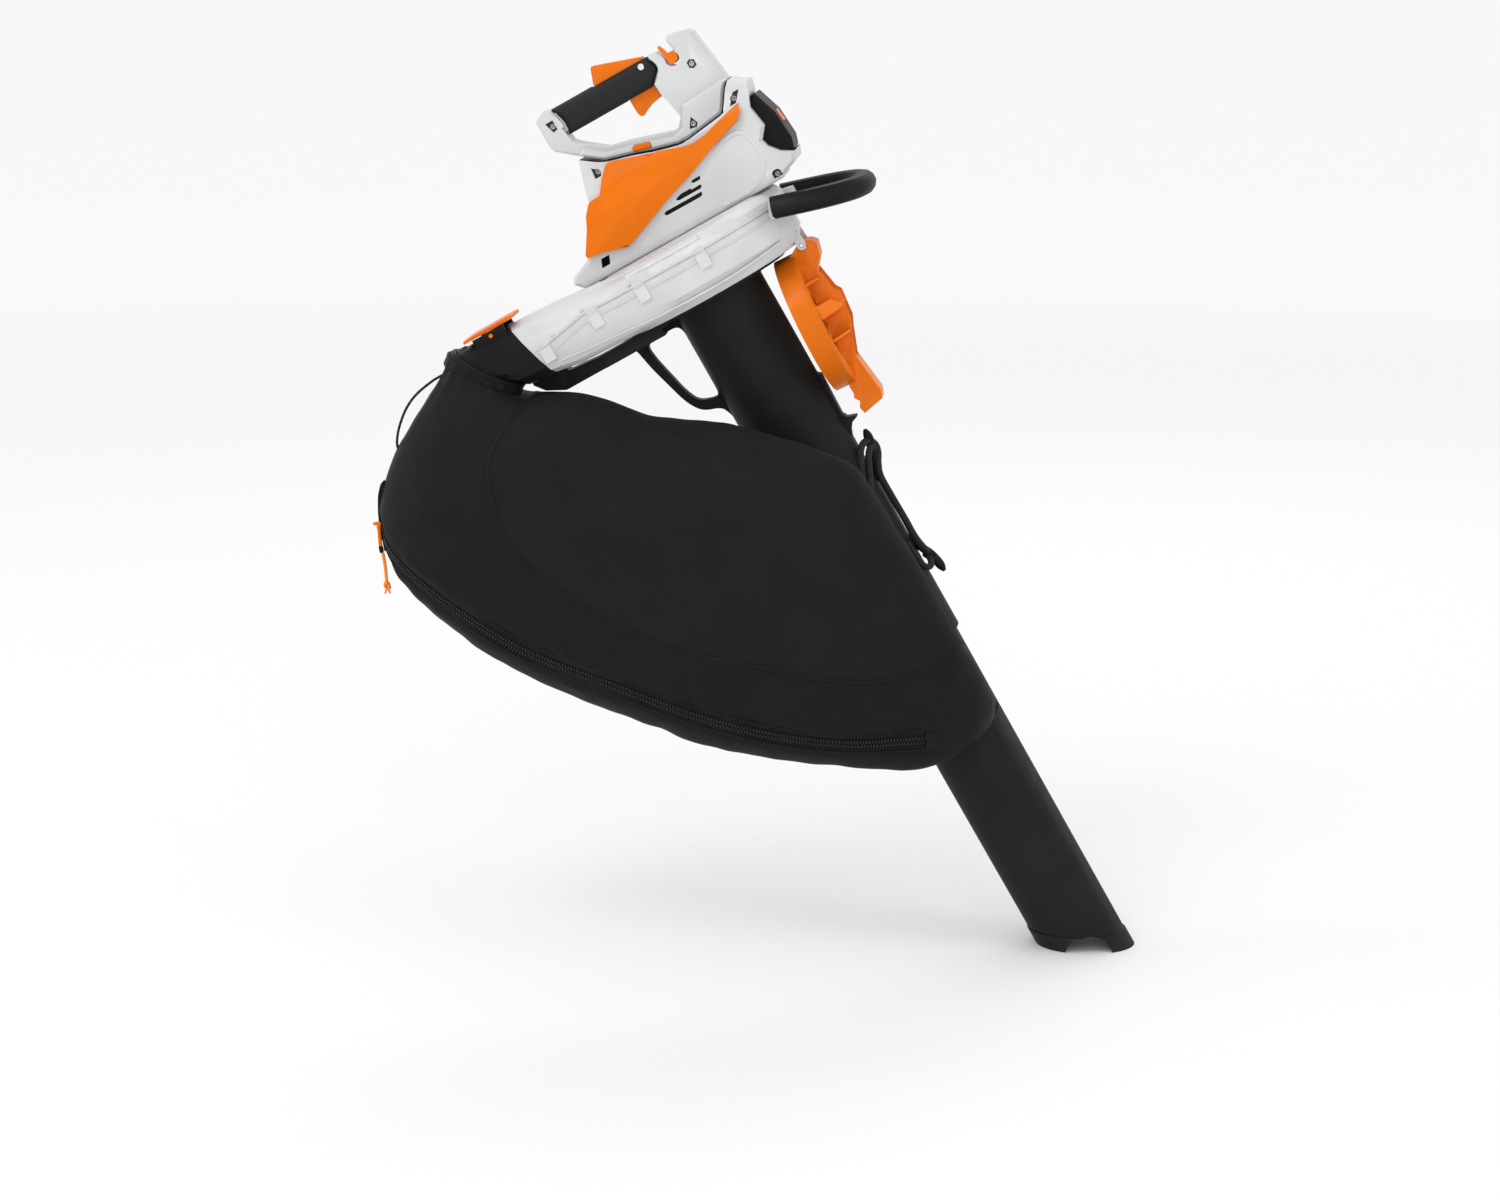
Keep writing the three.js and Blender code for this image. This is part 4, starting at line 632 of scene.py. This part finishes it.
def pull_knot():
    """A stopper knot in the cord's two strands, with two short frayed ends."""
    centre = Vector((-385.9, -115, -327.2))
    coil = []
    for k in range(61):
        a = 2 * math.pi * k / 60
        coil.append(centre + Vector((3.0 * math.sin(2 * a) * 0.9, 2.6 * math.cos(3 * a),
                                     4.0 * math.cos(2 * a + 0.5))))
    heap = Heap()
    heap.add(sweep(coil, circle(1.55, 10)))
    for x, y in ((-1.9, -0.8), (2.2, 0.9)):
        tail = [centre + Vector(p) for p in ((x * 0.3, y * 0.3, -2), (x * 0.8, y, -5.5),
                                             (x * 1.3, y * 1.4, -9.5))]
        heap.add(sweep(smooth_path(tail, 1.0), circle(1.2, 8)))
    knot = heap.build("pull_knot", CORD, UPRIGHT, "zip", "orange_cord")
    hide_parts("zip_pull_knot")
    return knot


# ---------------------------------------------------------------- the bag

# Cross-sections of the full bag: upper edge X, Z, lower edge X, Z, middle Y, half thickness.
BAG_SECTIONS = [np.array(row, float) for row in (
    (-231.5, -100.3, -309, -64.4, -84, 43), (-221, -102.6, -324, -83, -86, 50),
    (-202, -100.2, -360, -140.6, -90, 60), (-168, -99.5, -386, -194.5, -95, 68),
    (-130, -105, -393, -257, -102, 75), (-84, -120.5, -370, -319, -108, 78),
    (-34, -126, -317, -369.5, -114, 80), (21, -131, -241, -421.5, -120, 80),
    (76, -143, -141, -461, -126, 78), (126, -155, -34, -501, -131, 74),
    (166, -176, 62, -523.5, -131, 68), (196, -224, 151.5, -534.5, -123, 60),
    (236, -288, 216, -538.5, -115, 52), (276, -362, 264, -533, -107, 44),
    (310, -417, 302, -511, -97, 34), (326, -449, 321, -494, -85, 22),
    (331, -463, 329, -480, -73, 9),
)]
BAG_POWER = 2.15
RINGS_PER_SECTION = 18
FIRST_RING, CUFF_SLANT = 6, 8.0
FIRST_SEAM_RING = 12  # above it, a line of sight to the seam meets the cuff
SIDES = 210
ZIP_FROM, ZIP_TO, ZIP_END = 4, 13, 12.62  # section numbers
ZIP_VALLEY = 2.6
ZIP_ANGLES = [np.array([a], float) for a in (6, 29.5, 35, 38, 39, 39.5, 39.5, 41.5, 49.5, 58)]
NECK = Vector((-270, -84, -78))
NECK_AXIS = Vector((-math.sin(math.radians(26)), 0, -math.cos(math.radians(26))))

# The side panel's seam, where a line of sight from the front right crosses the plane below.
PANEL_SEAM = [(-200, -60), (-206, -90), (-248, -147), (-257, -194), (-235, -264), (-177, -322),
              (-72, -380), (45, -408), (173, -426), (266, -404), (300, -372), (330, -330)]
PANEL_PLANE = -150
SIGHT = (-0.0769, 0.9769, -0.1994)
PANEL_SLANT = (SIGHT[0] / SIGHT[1], SIGHT[2] / SIGHT[1])


def bag_row(t):
    return catmull(BAG_SECTIONS, t)


def bag_point(t, turn, grow=0.0):
    """A point on the bag: turn 0 is its upper edge, a quarter turn its right side."""
    tx, tz, bx, bz, y, half = bag_row(t)
    c, s = math.cos(turn), math.sin(turn)
    reach = (abs(c) ** BAG_POWER + abs(s) ** BAG_POWER) ** (-1 / BAG_POWER)
    ux, uz = (tx - bx) / 2, (tz - bz) / 2
    tall = math.hypot(ux, uz)
    along = reach * c * (tall + grow) / tall
    return Vector(((tx + bx) / 2 + ux * along, y - reach * s * (half + grow),
                   (tz + bz) / 2 + uz * along))


def zip_turn(t):
    """How far round the bag the zip lies, at a fractional section number."""
    at = catmull(ZIP_ANGLES, min(t, ZIP_TO) - ZIP_FROM)
    return math.pi - math.radians(float(at[0]))


def zip_row():
    """The middle of the zip on the smooth bag, as rows of X, Y, Z."""
    places = np.linspace(ZIP_FROM, ZIP_END, 260)
    return np.array([tuple(bag_point(t, zip_turn(t))) for t in places])


def sag(t, turn, zip_line=zip_row()):
    """How far the full cloth stands out or in: soft billows, gathers, and the zip's valley."""
    at = bag_point(t, turn)
    apart = float(np.sqrt(((zip_line - np.array(at)) ** 2).sum(axis=1).min()))
    near_zip = math.exp(-(apart / 11) ** 2)
    flank = math.exp(-((apart - 21) / 9) ** 2)
    out = 3.4 * noise.noise(at / 95) + 1.3 * noise.noise(at / 38 + Vector((7, 3, 1)))
    out *= 1 - near_zip
    out -= ZIP_VALLEY * near_zip
    out += flank * (1.1 + 1.6 * math.sin(at.x / 5.2) * noise.noise(at / 33))
    gather = math.exp(-max(t, 0) / 0.9)
    out += 1.5 * gather * math.sin(turn * 17 + 2 * noise.noise(at / 40)) * min(1, t * 2.5)
    edge = abs(math.cos(turn)) ** 6
    out += edge * 1.6 * noise.noise(Vector((at.x / 26, 0, at.z / 26)))
    tail = max(0, t - 14) / 2
    return out * (1 - 0.75 * tail)


def seam_line():
    rows = [np.array((x, 0, z), float) for x, z in PANEL_SEAM]
    return np.array([catmull(rows, k / 12)[[0, 2]] for k in range(12 * (len(rows) - 1) + 1)])


def seam_distances(points, middles):
    """Signed distance in mm from the side panel's seam, positive on the panel."""
    line = seam_line()
    ring = np.vstack([line, [(420, -330), (420, 160), (-200, 160)]])
    near = middles - np.abs(points[:, 1] - middles) - PANEL_PLANE
    flat = np.column_stack([points[:, 0] - near * PANEL_SLANT[0],
                            points[:, 2] - near * PANEL_SLANT[1]])
    best = np.full(len(flat), 1e9)
    for p, d in zip(line[:-1], line[1:] - line[:-1]):
        f = np.clip(((flat - p) @ d) / (d @ d), 0, 1)
        best = np.minimum(best, np.linalg.norm(flat - p - f[:, None] * d, axis=1))
    inside = np.zeros(len(flat), bool)
    for (x1, z1), (x2, z2) in zip(ring, np.roll(ring, -1, axis=0)):
        if z1 == z2:
            continue
        crosses = (z1 > flat[:, 1]) != (z2 > flat[:, 1])
        inside ^= crosses & (flat[:, 0] < x1 + (flat[:, 1] - z1) * (x2 - x1) / (z2 - z1))
    return np.where(inside, best, -best)


def bag_mesh():
    """Vertices, faces and the seam distance of the whole bag, from cuff to tip."""
    count = (len(BAG_SECTIONS) - 1) * RINGS_PER_SECTION + 1
    verts, middles = [], []
    cuff = [(-9.5, 47.2), (-10.8, 48.2), (-11, 49.6), (-9.6, 50.6), (-7.5, 50.2), (-6, 49.4),
            (-3, 49.3), (1, 49.2), (4, 48.6)]
    across = Vector((NECK_AXIS.z, 0, -NECK_AXIS.x))
    for h, radius in cuff:
        for j in range(SIDES):
            turn = 2 * math.pi * j / SIDES
            ripple = 0.5 * math.sin(17 * turn) * (h > -7)
            r = radius + ripple - 1.3 * (1 + math.cos(turn))
            low = h + CUFF_SLANT * (1 - math.cos(turn)) / 2
            verts.append(NECK + NECK_AXIS * low - across * r * math.cos(turn)
                         - Vector((0, r * math.sin(turn), 0)))
            middles.append(NECK.y)
    for i in range(FIRST_RING, count):
        t = i / RINGS_PER_SECTION
        ease = min(1, t / 0.9)
        for j in range(SIDES):
            turn = 2 * math.pi * j / SIDES
            verts.append(bag_point(t, turn, sag(t, turn) + 6 * (1 - ease) ** 2))
            middles.append(bag_row(t)[4])
    rings = len(cuff) + count - FIRST_RING
    faces = [face for i in range(rings - 1) for face in ring_faces(i, SIDES)]
    tip = verts[-SIDES:]
    centre = sum(tip, Vector()) / SIDES
    for shrink, forward in ((0.85, 1.6), (0.6, 2.8), (0.3, 3.4)):
        verts += [centre + (v - centre) * shrink + Vector((forward, 0, 0)) for v in tip]
        middles += [float(BAG_SECTIONS[-1][4])] * SIDES
        faces += ring_faces(rings - 1, SIDES)
        rings += 1
    faces.append(tuple(range((rings - 1) * SIDES, rings * SIDES)))
    points = np.array([tuple(v) for v in verts])
    return verts, faces, seam_distances(points, np.array(middles))


def zip_place(t):
    """A point at the bottom of the zip's valley and the cloth's outward normal there."""
    d = 0.01
    turn = zip_turn(t)
    here = bag_point(t, turn, -ZIP_VALLEY)
    a = bag_point(t + d, turn) - bag_point(t - d, turn)
    b = bag_point(t, turn + d) - bag_point(t, turn - d)
    out = a.cross(b).normalized()
    return here, out if out.dot(here - bag_point(t, turn, -20)) > 0 else -out


def zip_track(step):
    """Points and normals along the middle of the zip, evenly spaced."""
    places = np.linspace(ZIP_FROM + 0.02, ZIP_END, 900)
    reach = running_length([zip_place(t)[0] for t in places])
    points, normals = [], []
    for mark in np.arange(0, reach[-1], step):
        at, out = zip_place(float(np.interp(mark, reach, places)))
        points.append(at)
        normals.append(out)
    return points, normals


def make_zip():
    """The zip's tape, its two rows of teeth, and the cloth lips on both sides of it."""
    points, normals = zip_track(3.0)
    tape = Heap()
    tape.add(sweep(points, [(-12.5, -0.6), (-12, 0.9), (-3, 1.3), (3, 1.3), (12, 0.9),
                            (12.5, -0.6)], normals))
    zip_tape = tape.build("zip_tape", DARK_CLOTH, UPRIGHT, slot="bag_fabric")
    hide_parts("bag_zipper")

    points, normals = zip_track(3.6)
    teeth = Heap()
    for at, out, along in zip(points, normals, tangents(points)):
        side = along.cross(out).normalized()
        for row in (-1, 1):
            here = at + out * 1.9 + along * (0.9 * row)
            teeth.add(capsule(here + side * row * 0.3, here + side * row * 5.4, 1.15, 6, 1.1, out))
            rib = at + out * 1.1 + side * row * 8.9
            teeth.add(capsule(rib - side * 1.3, rib + side * 1.3, 0.7, 6, 1.0, out))
    teeth.build("zip_teeth", TEETH, UPRIGHT, slot="black_plastic")

    lips = Heap()
    points, normals = zip_track(4.0)
    for row in (-1, 1):
        line = [at + along.cross(out).normalized() * row * 12.4 + out * 1.1
                for at, out, along in zip(points, normals, tangents(points))]
        lips.add(sweep(line, circle(1.5, 10), normals))
    at, out = zip_place(ZIP_END - 0.02)
    end, _ = zip_place(ZIP_END + 0.3)
    tab = [at + out * 1.2 + (end - at) * f for f in (0, 0.12, 0.5, 0.88, 1.0)]
    widths = (9.5, 11.5, 10.5, 9, 6)
    lips.add(sweep(tab, lambda i: ribbon(widths[i], 3.4, 2.5), [out] * 5))
    lips.build("zip_lips", BAND_CLOTH, UPRIGHT, slot="bag_fabric")


def surface_tracks(verts, faces):
    """The side panel's seam laid on the cloth: one track of points and normals a side."""
    tree = BVHTree.FromPolygons(verts, faces)
    sight = Vector(SIGHT)
    near, far = ([], []), ([], [])
    for x, z in seam_line():
        hit, out, face, _ = tree.ray_cast(Vector((x, PANEL_PLANE, z)) - sight * 300, sight)
        if hit is None or face // SIDES < FIRST_SEAM_RING:
            continue
        near[0].append(hit)
        near[1].append(out if out.dot(sight) < 0 else -out)
        corners = [verts[k] for k in faces[face]]
        weights = poly_3d_calc(corners, hit)
        mirror = [verts[(k // SIDES) * SIDES + (-(k % SIDES)) % SIDES] for k in faces[face]]
        other = sum((v * w for v, w in zip(mirror, weights)), Vector())
        far[0].append(other)
        turned = (mirror[1] - mirror[0]).cross(mirror[2] - mirror[0]).normalized()
        far[1].append(turned if turned.y > 0 else -turned)
    return near, far


def even(points, normals, step):
    """The same track with its points a step apart."""
    reach = running_length(points)
    marks = np.arange(0, reach[-1], step)
    both = np.array([(*p, *n) for p, n in zip(points, normals)]).T
    rows = np.array([np.interp(marks, reach, c) for c in both]).T
    return [Vector(r[:3]) for r in rows], [Vector(r[3:]).normalized() for r in rows]


def make_bag():
    """The cloth shell, and the piping and stitches along its side panels' seams."""
    verts, faces, seam = bag_mesh()
    shell = mesh_object("bag_shell", verts, faces, UPRIGHT)
    smooth_shade(shell)
    layer = shell.data.attributes.new("seam_mm", "FLOAT", "POINT")
    layer.data.foreach_set("value", [float(v) for v in seam])
    paint(shell, BAG_CLOTH)
    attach(shell, "machine")
    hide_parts("bag_body")

    piping, thread = Heap(), Heap()
    for points, normals in surface_tracks(verts, faces):
        path, out = even(points, normals, 3.0)
        piping.add(sweep(path, ribbon(2.4, 0.75, 0.6), out))
        for offset in (-3.6, 3.6):
            path, out = even(points, normals, 3.6)
            for at, up, along in zip(path, out, tangents(path)):
                here = at + along.cross(up).normalized() * offset + up * 0.15
                thread.add(capsule(here - along * 1.2, here + along * 1.2, 0.32, 5, 0.8, up))
    piping.build("bag_seams", BAND_CLOTH, UPRIGHT, slot="bag_fabric")
    thread.build("bag_stitches", THREAD, UPRIGHT, slot="bag_fabric")


# ---------------------------------------------------------------- housing details

def prism(outline, y0, y1):
    """A plate: an X, Z outline carried from y0 to y1."""
    count = len(outline)
    verts = [Vector((x, y, z)) for y in (y0, y1) for x, z in outline]
    faces = [(i, (i + 1) % count, (i + 1) % count + count, i + count) for i in range(count)]
    return verts, faces + [tuple(reversed(range(count))), tuple(range(count, 2 * count))]


# The speed lever's blade on the handle's right side and its body through the handle, as X, Z.
SPEED_BLADE = [(82, 293), (83.5, 295.4), (86.1, 292.5), (89.8, 281), (90.3, 269.5), (85.6, 270)]
SPEED_BOX = [(87.5, 282), (89.6, 282.8), (98, 281.5), (99, 277), (97.1, 271.2), (90.3, 268.2),
             (86, 269.5)]


def make_speed_lever():
    heap = Heap()
    heap.add(prism(SPEED_BLADE, -20.8, -13))
    heap.add(prism(SPEED_BOX, -20.7, 20.7))
    lever = heap.build("speed_lever_blade", ORANGE, MACHINE, "speed", "orange_plastic", bevel=0.6)
    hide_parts("speed_lever")


# The side cover's outline above and below its far corners, its crease, and the housing's half
# width at each height. The crease stands proud, and the cover falls away on both sides of it.
PANEL_TOP = [(-95, 121.5), (-103.2, 122), (-104.5, 126), (-88, 151.5), (-72.8, 175.6),
             (-70, 177.3), (-56, 178), (-35.5, 203), (-33, 205), (-28, 206), (6.8, 194.8),
             (55.5, 180.1), (69.1, 178.4)]
PANEL_LOW = [(85.6, 179.4), (137, 191.6), (128.1, 176.5), (85.6, 163.1), (37, 145.3),
             (6.8, 135.7), (-23, 123.6), (-55, 111.6), (-91.2, 121.5)]
PANEL_CREASE = [(69.1, 178.4), (31.5, 167), (-15, 150.6), (-81, 130), (-95, 121.5)]
HOUSING_WIDTHS = [(88, 57), (100, 61), (158, 61), (184, 56), (206, 46), (232, 41)]
PANEL_PROUD = 1.9
PANEL_THICKNESS = 4.2
PANEL_GRID = 4
PANEL_RIDGE, RIDGE_ABOVE, RIDGE_BELOW = 3.6, 30, 26


def housing_half(z):
    heights, halves = zip(*HOUSING_WIDTHS)
    return float(np.interp(z, heights, halves))


def below_crease(x, z):
    """Distance in mm under the panel's crease line, negative above it."""
    xs, zs = zip(*sorted(PANEL_CREASE))
    return (float(np.interp(x, xs, zs)) - z) * 0.93


def inside(outline, x, z):
    odd = False
    for (x1, z1), (x2, z2) in zip(outline, outline[1:] + outline[:1]):
        if (z1 > z) != (z2 > z) and x < x1 + (z - z1) * (x2 - x1) / (z2 - z1):
            odd = not odd
    return odd


def make_side_panels():
    """The orange covers, each folded along a crease that runs up to its far corner."""
    outline = PANEL_TOP + PANEL_LOW
    seeds = [Vector(p) for p in outline]
    edges = [(i, (i + 1) % len(outline)) for i in range(len(outline))]
    fold = [(p.x, p.z) for p in smooth_path([(x, 0, z) for x, z in PANEL_CREASE], 3.5)][1:-1]
    edges += [(len(seeds) + i, len(seeds) + i + 1) for i in range(len(fold) - 1)]
    seeds += [Vector(p) for p in fold]
    for x in range(-112, 140, PANEL_GRID):
        for z in range(112, 208, PANEL_GRID):
            if inside(outline, x, z) and abs(below_crease(x, z)) > 1.5:
                seeds.append(Vector((x, z)))
    flat, _, faces, *_ = delaunay_2d_cdt(seeds, edges, [], 1, 1e-4)
    for side, name in ((-1, "right"), (1, "left")):
        verts = []
        for x, z in flat:
            away = below_crease(x, z)
            ridge = max(0, 1 - abs(away) / (RIDGE_BELOW if away > 0 else RIDGE_ABOVE))
            out = housing_half(z) + PANEL_PROUD + PANEL_RIDGE * ridge
            verts.append(Vector((x, side * out, z)))
        panel = mesh_object(f"side_cover_{name}", verts,
                            [f if side > 0 else tuple(reversed(f)) for f in faces], MACHINE)
        paint(panel, ORANGE)
        thick = panel.modifiers.new("thick", "SOLIDIFY")
        thick.thickness = PANEL_THICKNESS / 1000
        thick.offset = -1
        fold_line = [Vector((x, side * (housing_half(z) + PANEL_PROUD + PANEL_RIDGE - 0.25), z))
                     for x, z in fold]
        edge = Heap()
        edge.add(sweep(fold_line, circle(0.75, 8)))
        edge.build(f"side_crease_{name}", ORANGE, MACHINE, slot="orange_plastic")
        smooth_shade(panel)
        bevel_edges(panel, 0.9, 25)
        panel.data.set_sharp_from_angle(angle=math.radians(6))
        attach(panel, "machine")
        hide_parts(f"side_panel_{name}")


# Screws: X, Z, the height of the head's seat, and the corners of the pocket round it.
SCREW_POCKETS = [
    (-71, 274.5, -12, [(-77, 281), (-67, 281), (-67, 269), (-73, 268)]),
    (108.2, 258.4, -15, [(103.5, 262), (108, 264), (113, 261.5), (113, 254.5), (108, 252.5),
                         (103.5, 255)]),
    (77.4, 197.5, -33, [(71, 194), (79, 206), (83, 196.5), (80, 192)]),
    (-47.3, 203.5, -36, [(-52, 211), (-43, 203), (-45, 197.5), (-53, 197.5)]),
    (133.4, 199.8, -38, [(126, 194), (136, 206.5), (144, 206.5), (134, 194)]),
    (136.5, 99.7, -49, [(131, 103), (134, 105.5), (139, 105.5), (142, 103), (142, 96.5),
                        (131, 96.5)]),
]


def shrunk(outline, share):
    mx = sum(x for x, _ in outline) / len(outline)
    mz = sum(z for _, z in outline) / len(outline)
    return [(mx + (x - mx) * share, mz + (z - mz) * share) for x, z in outline]


def screw_head(x, y, z, radius=3.5, lobes=6):
    """A pan head with a six-lobed socket, facing the machine's right side."""
    rings = [(radius, 0, 0), (radius, -0.9, 0), (radius * 0.86, -1.5, 0), (radius * 0.5, -1.7, 1),
             (radius * 0.44, -0.5, 1), (0.05, -0.4, 1)]
    verts, sides = [], 36
    for r, out, lobed in rings:
        for k in range(sides):
            a = 2 * math.pi * k / sides
            reach = r * (1 + 0.13 * math.cos(lobes * a) * lobed)
            verts.append(Vector((x + reach * math.cos(a), y + out, z + reach * math.sin(a))))
    faces = [face for i in range(len(rings) - 1) for face in ring_faces(i, sides)]
    faces.append(tuple(range((len(rings) - 1) * sides, len(rings) * sides)))
    return verts, faces


def make_screws():
    # Each pocket gets a dark floor plate under its screw head, painted shade for the pocket's deep
    # shadow.
    pocket_shade, heads = Heap(), Heap()
    for x, z, seat, pocket in SCREW_POCKETS:
        pocket_shade.add(prism(shrunk(pocket, 0.985), seat - 3.7, seat - 3.3))
        heads.add(screw_head(x, seat - 3.6, z))
    pocket_shade.build("screw_pocket_painted_shade", SHADE, MACHINE, slot="black_plastic")
    heads.build("screw_faces", DARK_STEEL, MACHINE, slot="bright_steel")


# ---------------------------------------------------------------- fan housing details

VOLUTE_R = 126
OUTLET_MIDDLE, OUTLET_HALF = -84, 38
# Height of the outlet duct's middle at each distance to the left of the fan's axis.
DUCT_REACHES, DUCT_MIDDLES = (0, 60, 120, 165, 200), (51, 53, 57, 60, 63.6)
DUCT_HALF_HEIGHT, DUCT_POWER = 35.5, 3.6
SEAM_LINE = [(-196, 59.7), (-187, 60), (-150, 67), (-132, 70), (-97, 69), (-60, 68.2), (112, 68.2)]
LOWER_LINE = [(-182, 37), (-140, 33), (-100, 30), (-40, 26), (40, 26), (104, 30)]


def volute_side(x, z):
    """A point and its outward normal on the right side of the drum and its outlet."""
    radius = VOLUTE_R - max(0, z - 80) * 0.62 - max(0, 31 - z) * 0.34
    drum = -math.sqrt(max(1, radius ** 2 - x ** 2))
    middle = np.interp(-x, DUCT_REACHES, DUCT_MIDDLES)
    high = min(0.97, abs(z - middle) / DUCT_HALF_HEIGHT)
    duct = OUTLET_MIDDLE - OUTLET_HALF * (1 - high ** DUCT_POWER) ** (1 / DUCT_POWER)
    if x < 0 and duct < drum:
        return Vector((x, duct, z)), Vector((0, -1, 0))
    return Vector((x, drum, z)), Vector((x, drum, 0)).normalized()


def along_volute(line, rise, step=3.0):
    """A line of X, Z pairs laid on the housing's right side: its points and normals."""
    points, normals = [], []
    for p in smooth_path([(x, 0, z) for x, z in line], step):
        at, out = volute_side(p.x, p.z + rise)
        points.append(at)
        normals.append(out)
    return points, normals


# X of each clip that holds the two housing shells together.
CLIPS = (-191, -122, -60, 21)


def make_volute_details():
    """The seam's lips and clips, three locating pins, and the plain label strip."""
    bands = Heap()
    for line, rise, half, height in ((SEAM_LINE, 2.2, 1.5, 1.3), (SEAM_LINE, -8.4, 0.9, 0.8),
                                     (LOWER_LINE, 0, 1.3, 0.9)):
        points, normals = along_volute(line, rise)
        bands.add(sweep(points, ribbon(half, height, 2.0), normals))
    pads = Heap()
    for x in CLIPS:
        z = float(np.interp(x, *zip(*SEAM_LINE)))
        at, _ = volute_side(x, z)
        pads.add(prism([(x - 7.6, z - 11), (x + 6, z - 13.5), (x + 8, z - 10), (x + 6.4, z + 3),
                        (x + 3, z + 6), (x - 7.2, z + 6)], at.y - 0.7, at.y + 5))
        pads.add(prism([(x - 8.4, z - 13.4), (x + 3.5, z - 15.4), (x + 3.9, z - 13.6),
                        (x - 8.2, z - 11.2)], at.y - 1.6, at.y + 5))
    dots = Heap()
    for x, z in ((-176, 67.5), (-132, 76), (-70, 75.5)):
        at, out = volute_side(x, z)
        dots.add(capsule(at - out * 1.0, at + out * 1.6, 2.3, 16, 1.0))
    bands.build("housing_seam_lips", WHITE, MACHINE, slot="white_plastic", bevel=0.3)
    pads.build("housing_clips", WHITE, MACHINE, slot="white_plastic", bevel=1.2)
    dots.build("housing_pins", WHITE, MACHINE, slot="white_plastic")
    label = Heap()
    points, normals = along_volute([(-70, 84), (28, 84)], 0, 2.0)
    label.add(sweep(points, [(-3.1, -0.6), (-3.1, 0.3), (3.1, 0.3), (3.1, -0.6)],
                    [(n + Vector((0, 0, 0.62))).normalized() for n in normals]))
    label.build("plain_label", LABEL, MACHINE, slot="white_plastic")


BODY_CONTOUR = [(64, 99), (100, 99), (122, 108), (131, 128), (128, 152), (119, 164), (100, 163),
                (84, 156)]
# The housing's slots, for the black plates in them that are painted shade for the housing's dark
# inside.
VENTS = [
    [(-1.4, 123.4), (1, 120.6), (45.1, 120.4), (48.9, 121.4), (49.8, 125.2), (2.4, 125.3)],
    [(19.1, 130.8), (22.2, 129), (51.1, 128.8), (53.6, 131.3), (52.3, 133), (40.9, 132.8),
     (40.8, 134.5), (27.4, 134.5), (21.2, 132.6)],
    [(44.4, 140.6), (46.9, 138.3), (55.4, 138.2), (57, 141), (56.6, 142.2), (47.4, 141.9)],
]


def make_vent_shade():
    # Black plates set in the slots: painted shade for the shadowed inside of the housing.
    heap = Heap()
    for vent in VENTS:
        for side in (-1, 1):
            heap.add(prism(vent, *sorted((side * 61.06, side * 59.3))))
    heap.build("vent_shade_plates", BLACK, MACHINE, slot="black_plastic")


def make_body_contour():
    """The soft raised line round the plain field beside the vents."""
    heap = Heap()
    line = smooth_path([(x, -61, z) for x, z in BODY_CONTOUR], 3)
    heap.add(sweep(line, ribbon(2.6, 0.55, 0.6), [Vector((0, -1, 0))] * len(line)))
    heap.build("housing_contour", WHITE, MACHINE, slot="white_plastic", bevel=0.25)


# The open joint between the handle's foot and the motor housing.
JOINT_LINE = [(-58, 224.6), (-34.4, 209.9), (-0.7, 200.2), (22, 192.5), (52, 184.8), (67.2, 184.8),
              (111.9, 190.5), (116.3, 193.7), (129.7, 213.8), (136, 220.6)]


def make_joint_shade():
    # A black rod laid along the joint on each side: painted shade for the shadow in the open gap.
    heap = Heap()
    line = smooth_path([(x, 0, z) for x, z in JOINT_LINE], 3)
    for side in (-1, 1):
        path = [Vector((p.x, side * (housing_half(p.z) - 1.2), p.z + 0.4)) for p in line]
        heap.add(sweep(path, circle(1.25, 10)))
    heap.build("housing_joint_shade", BLACK, MACHINE, slot="black_plastic")


add_cords()
make_bag()
make_zip()
make_speed_lever()
make_side_panels()
make_screws()
make_volute_details()
make_body_contour()
make_vent_shade()
make_hooks()
make_pull_tab()
make_strap()
make_joint_shade()
ground()
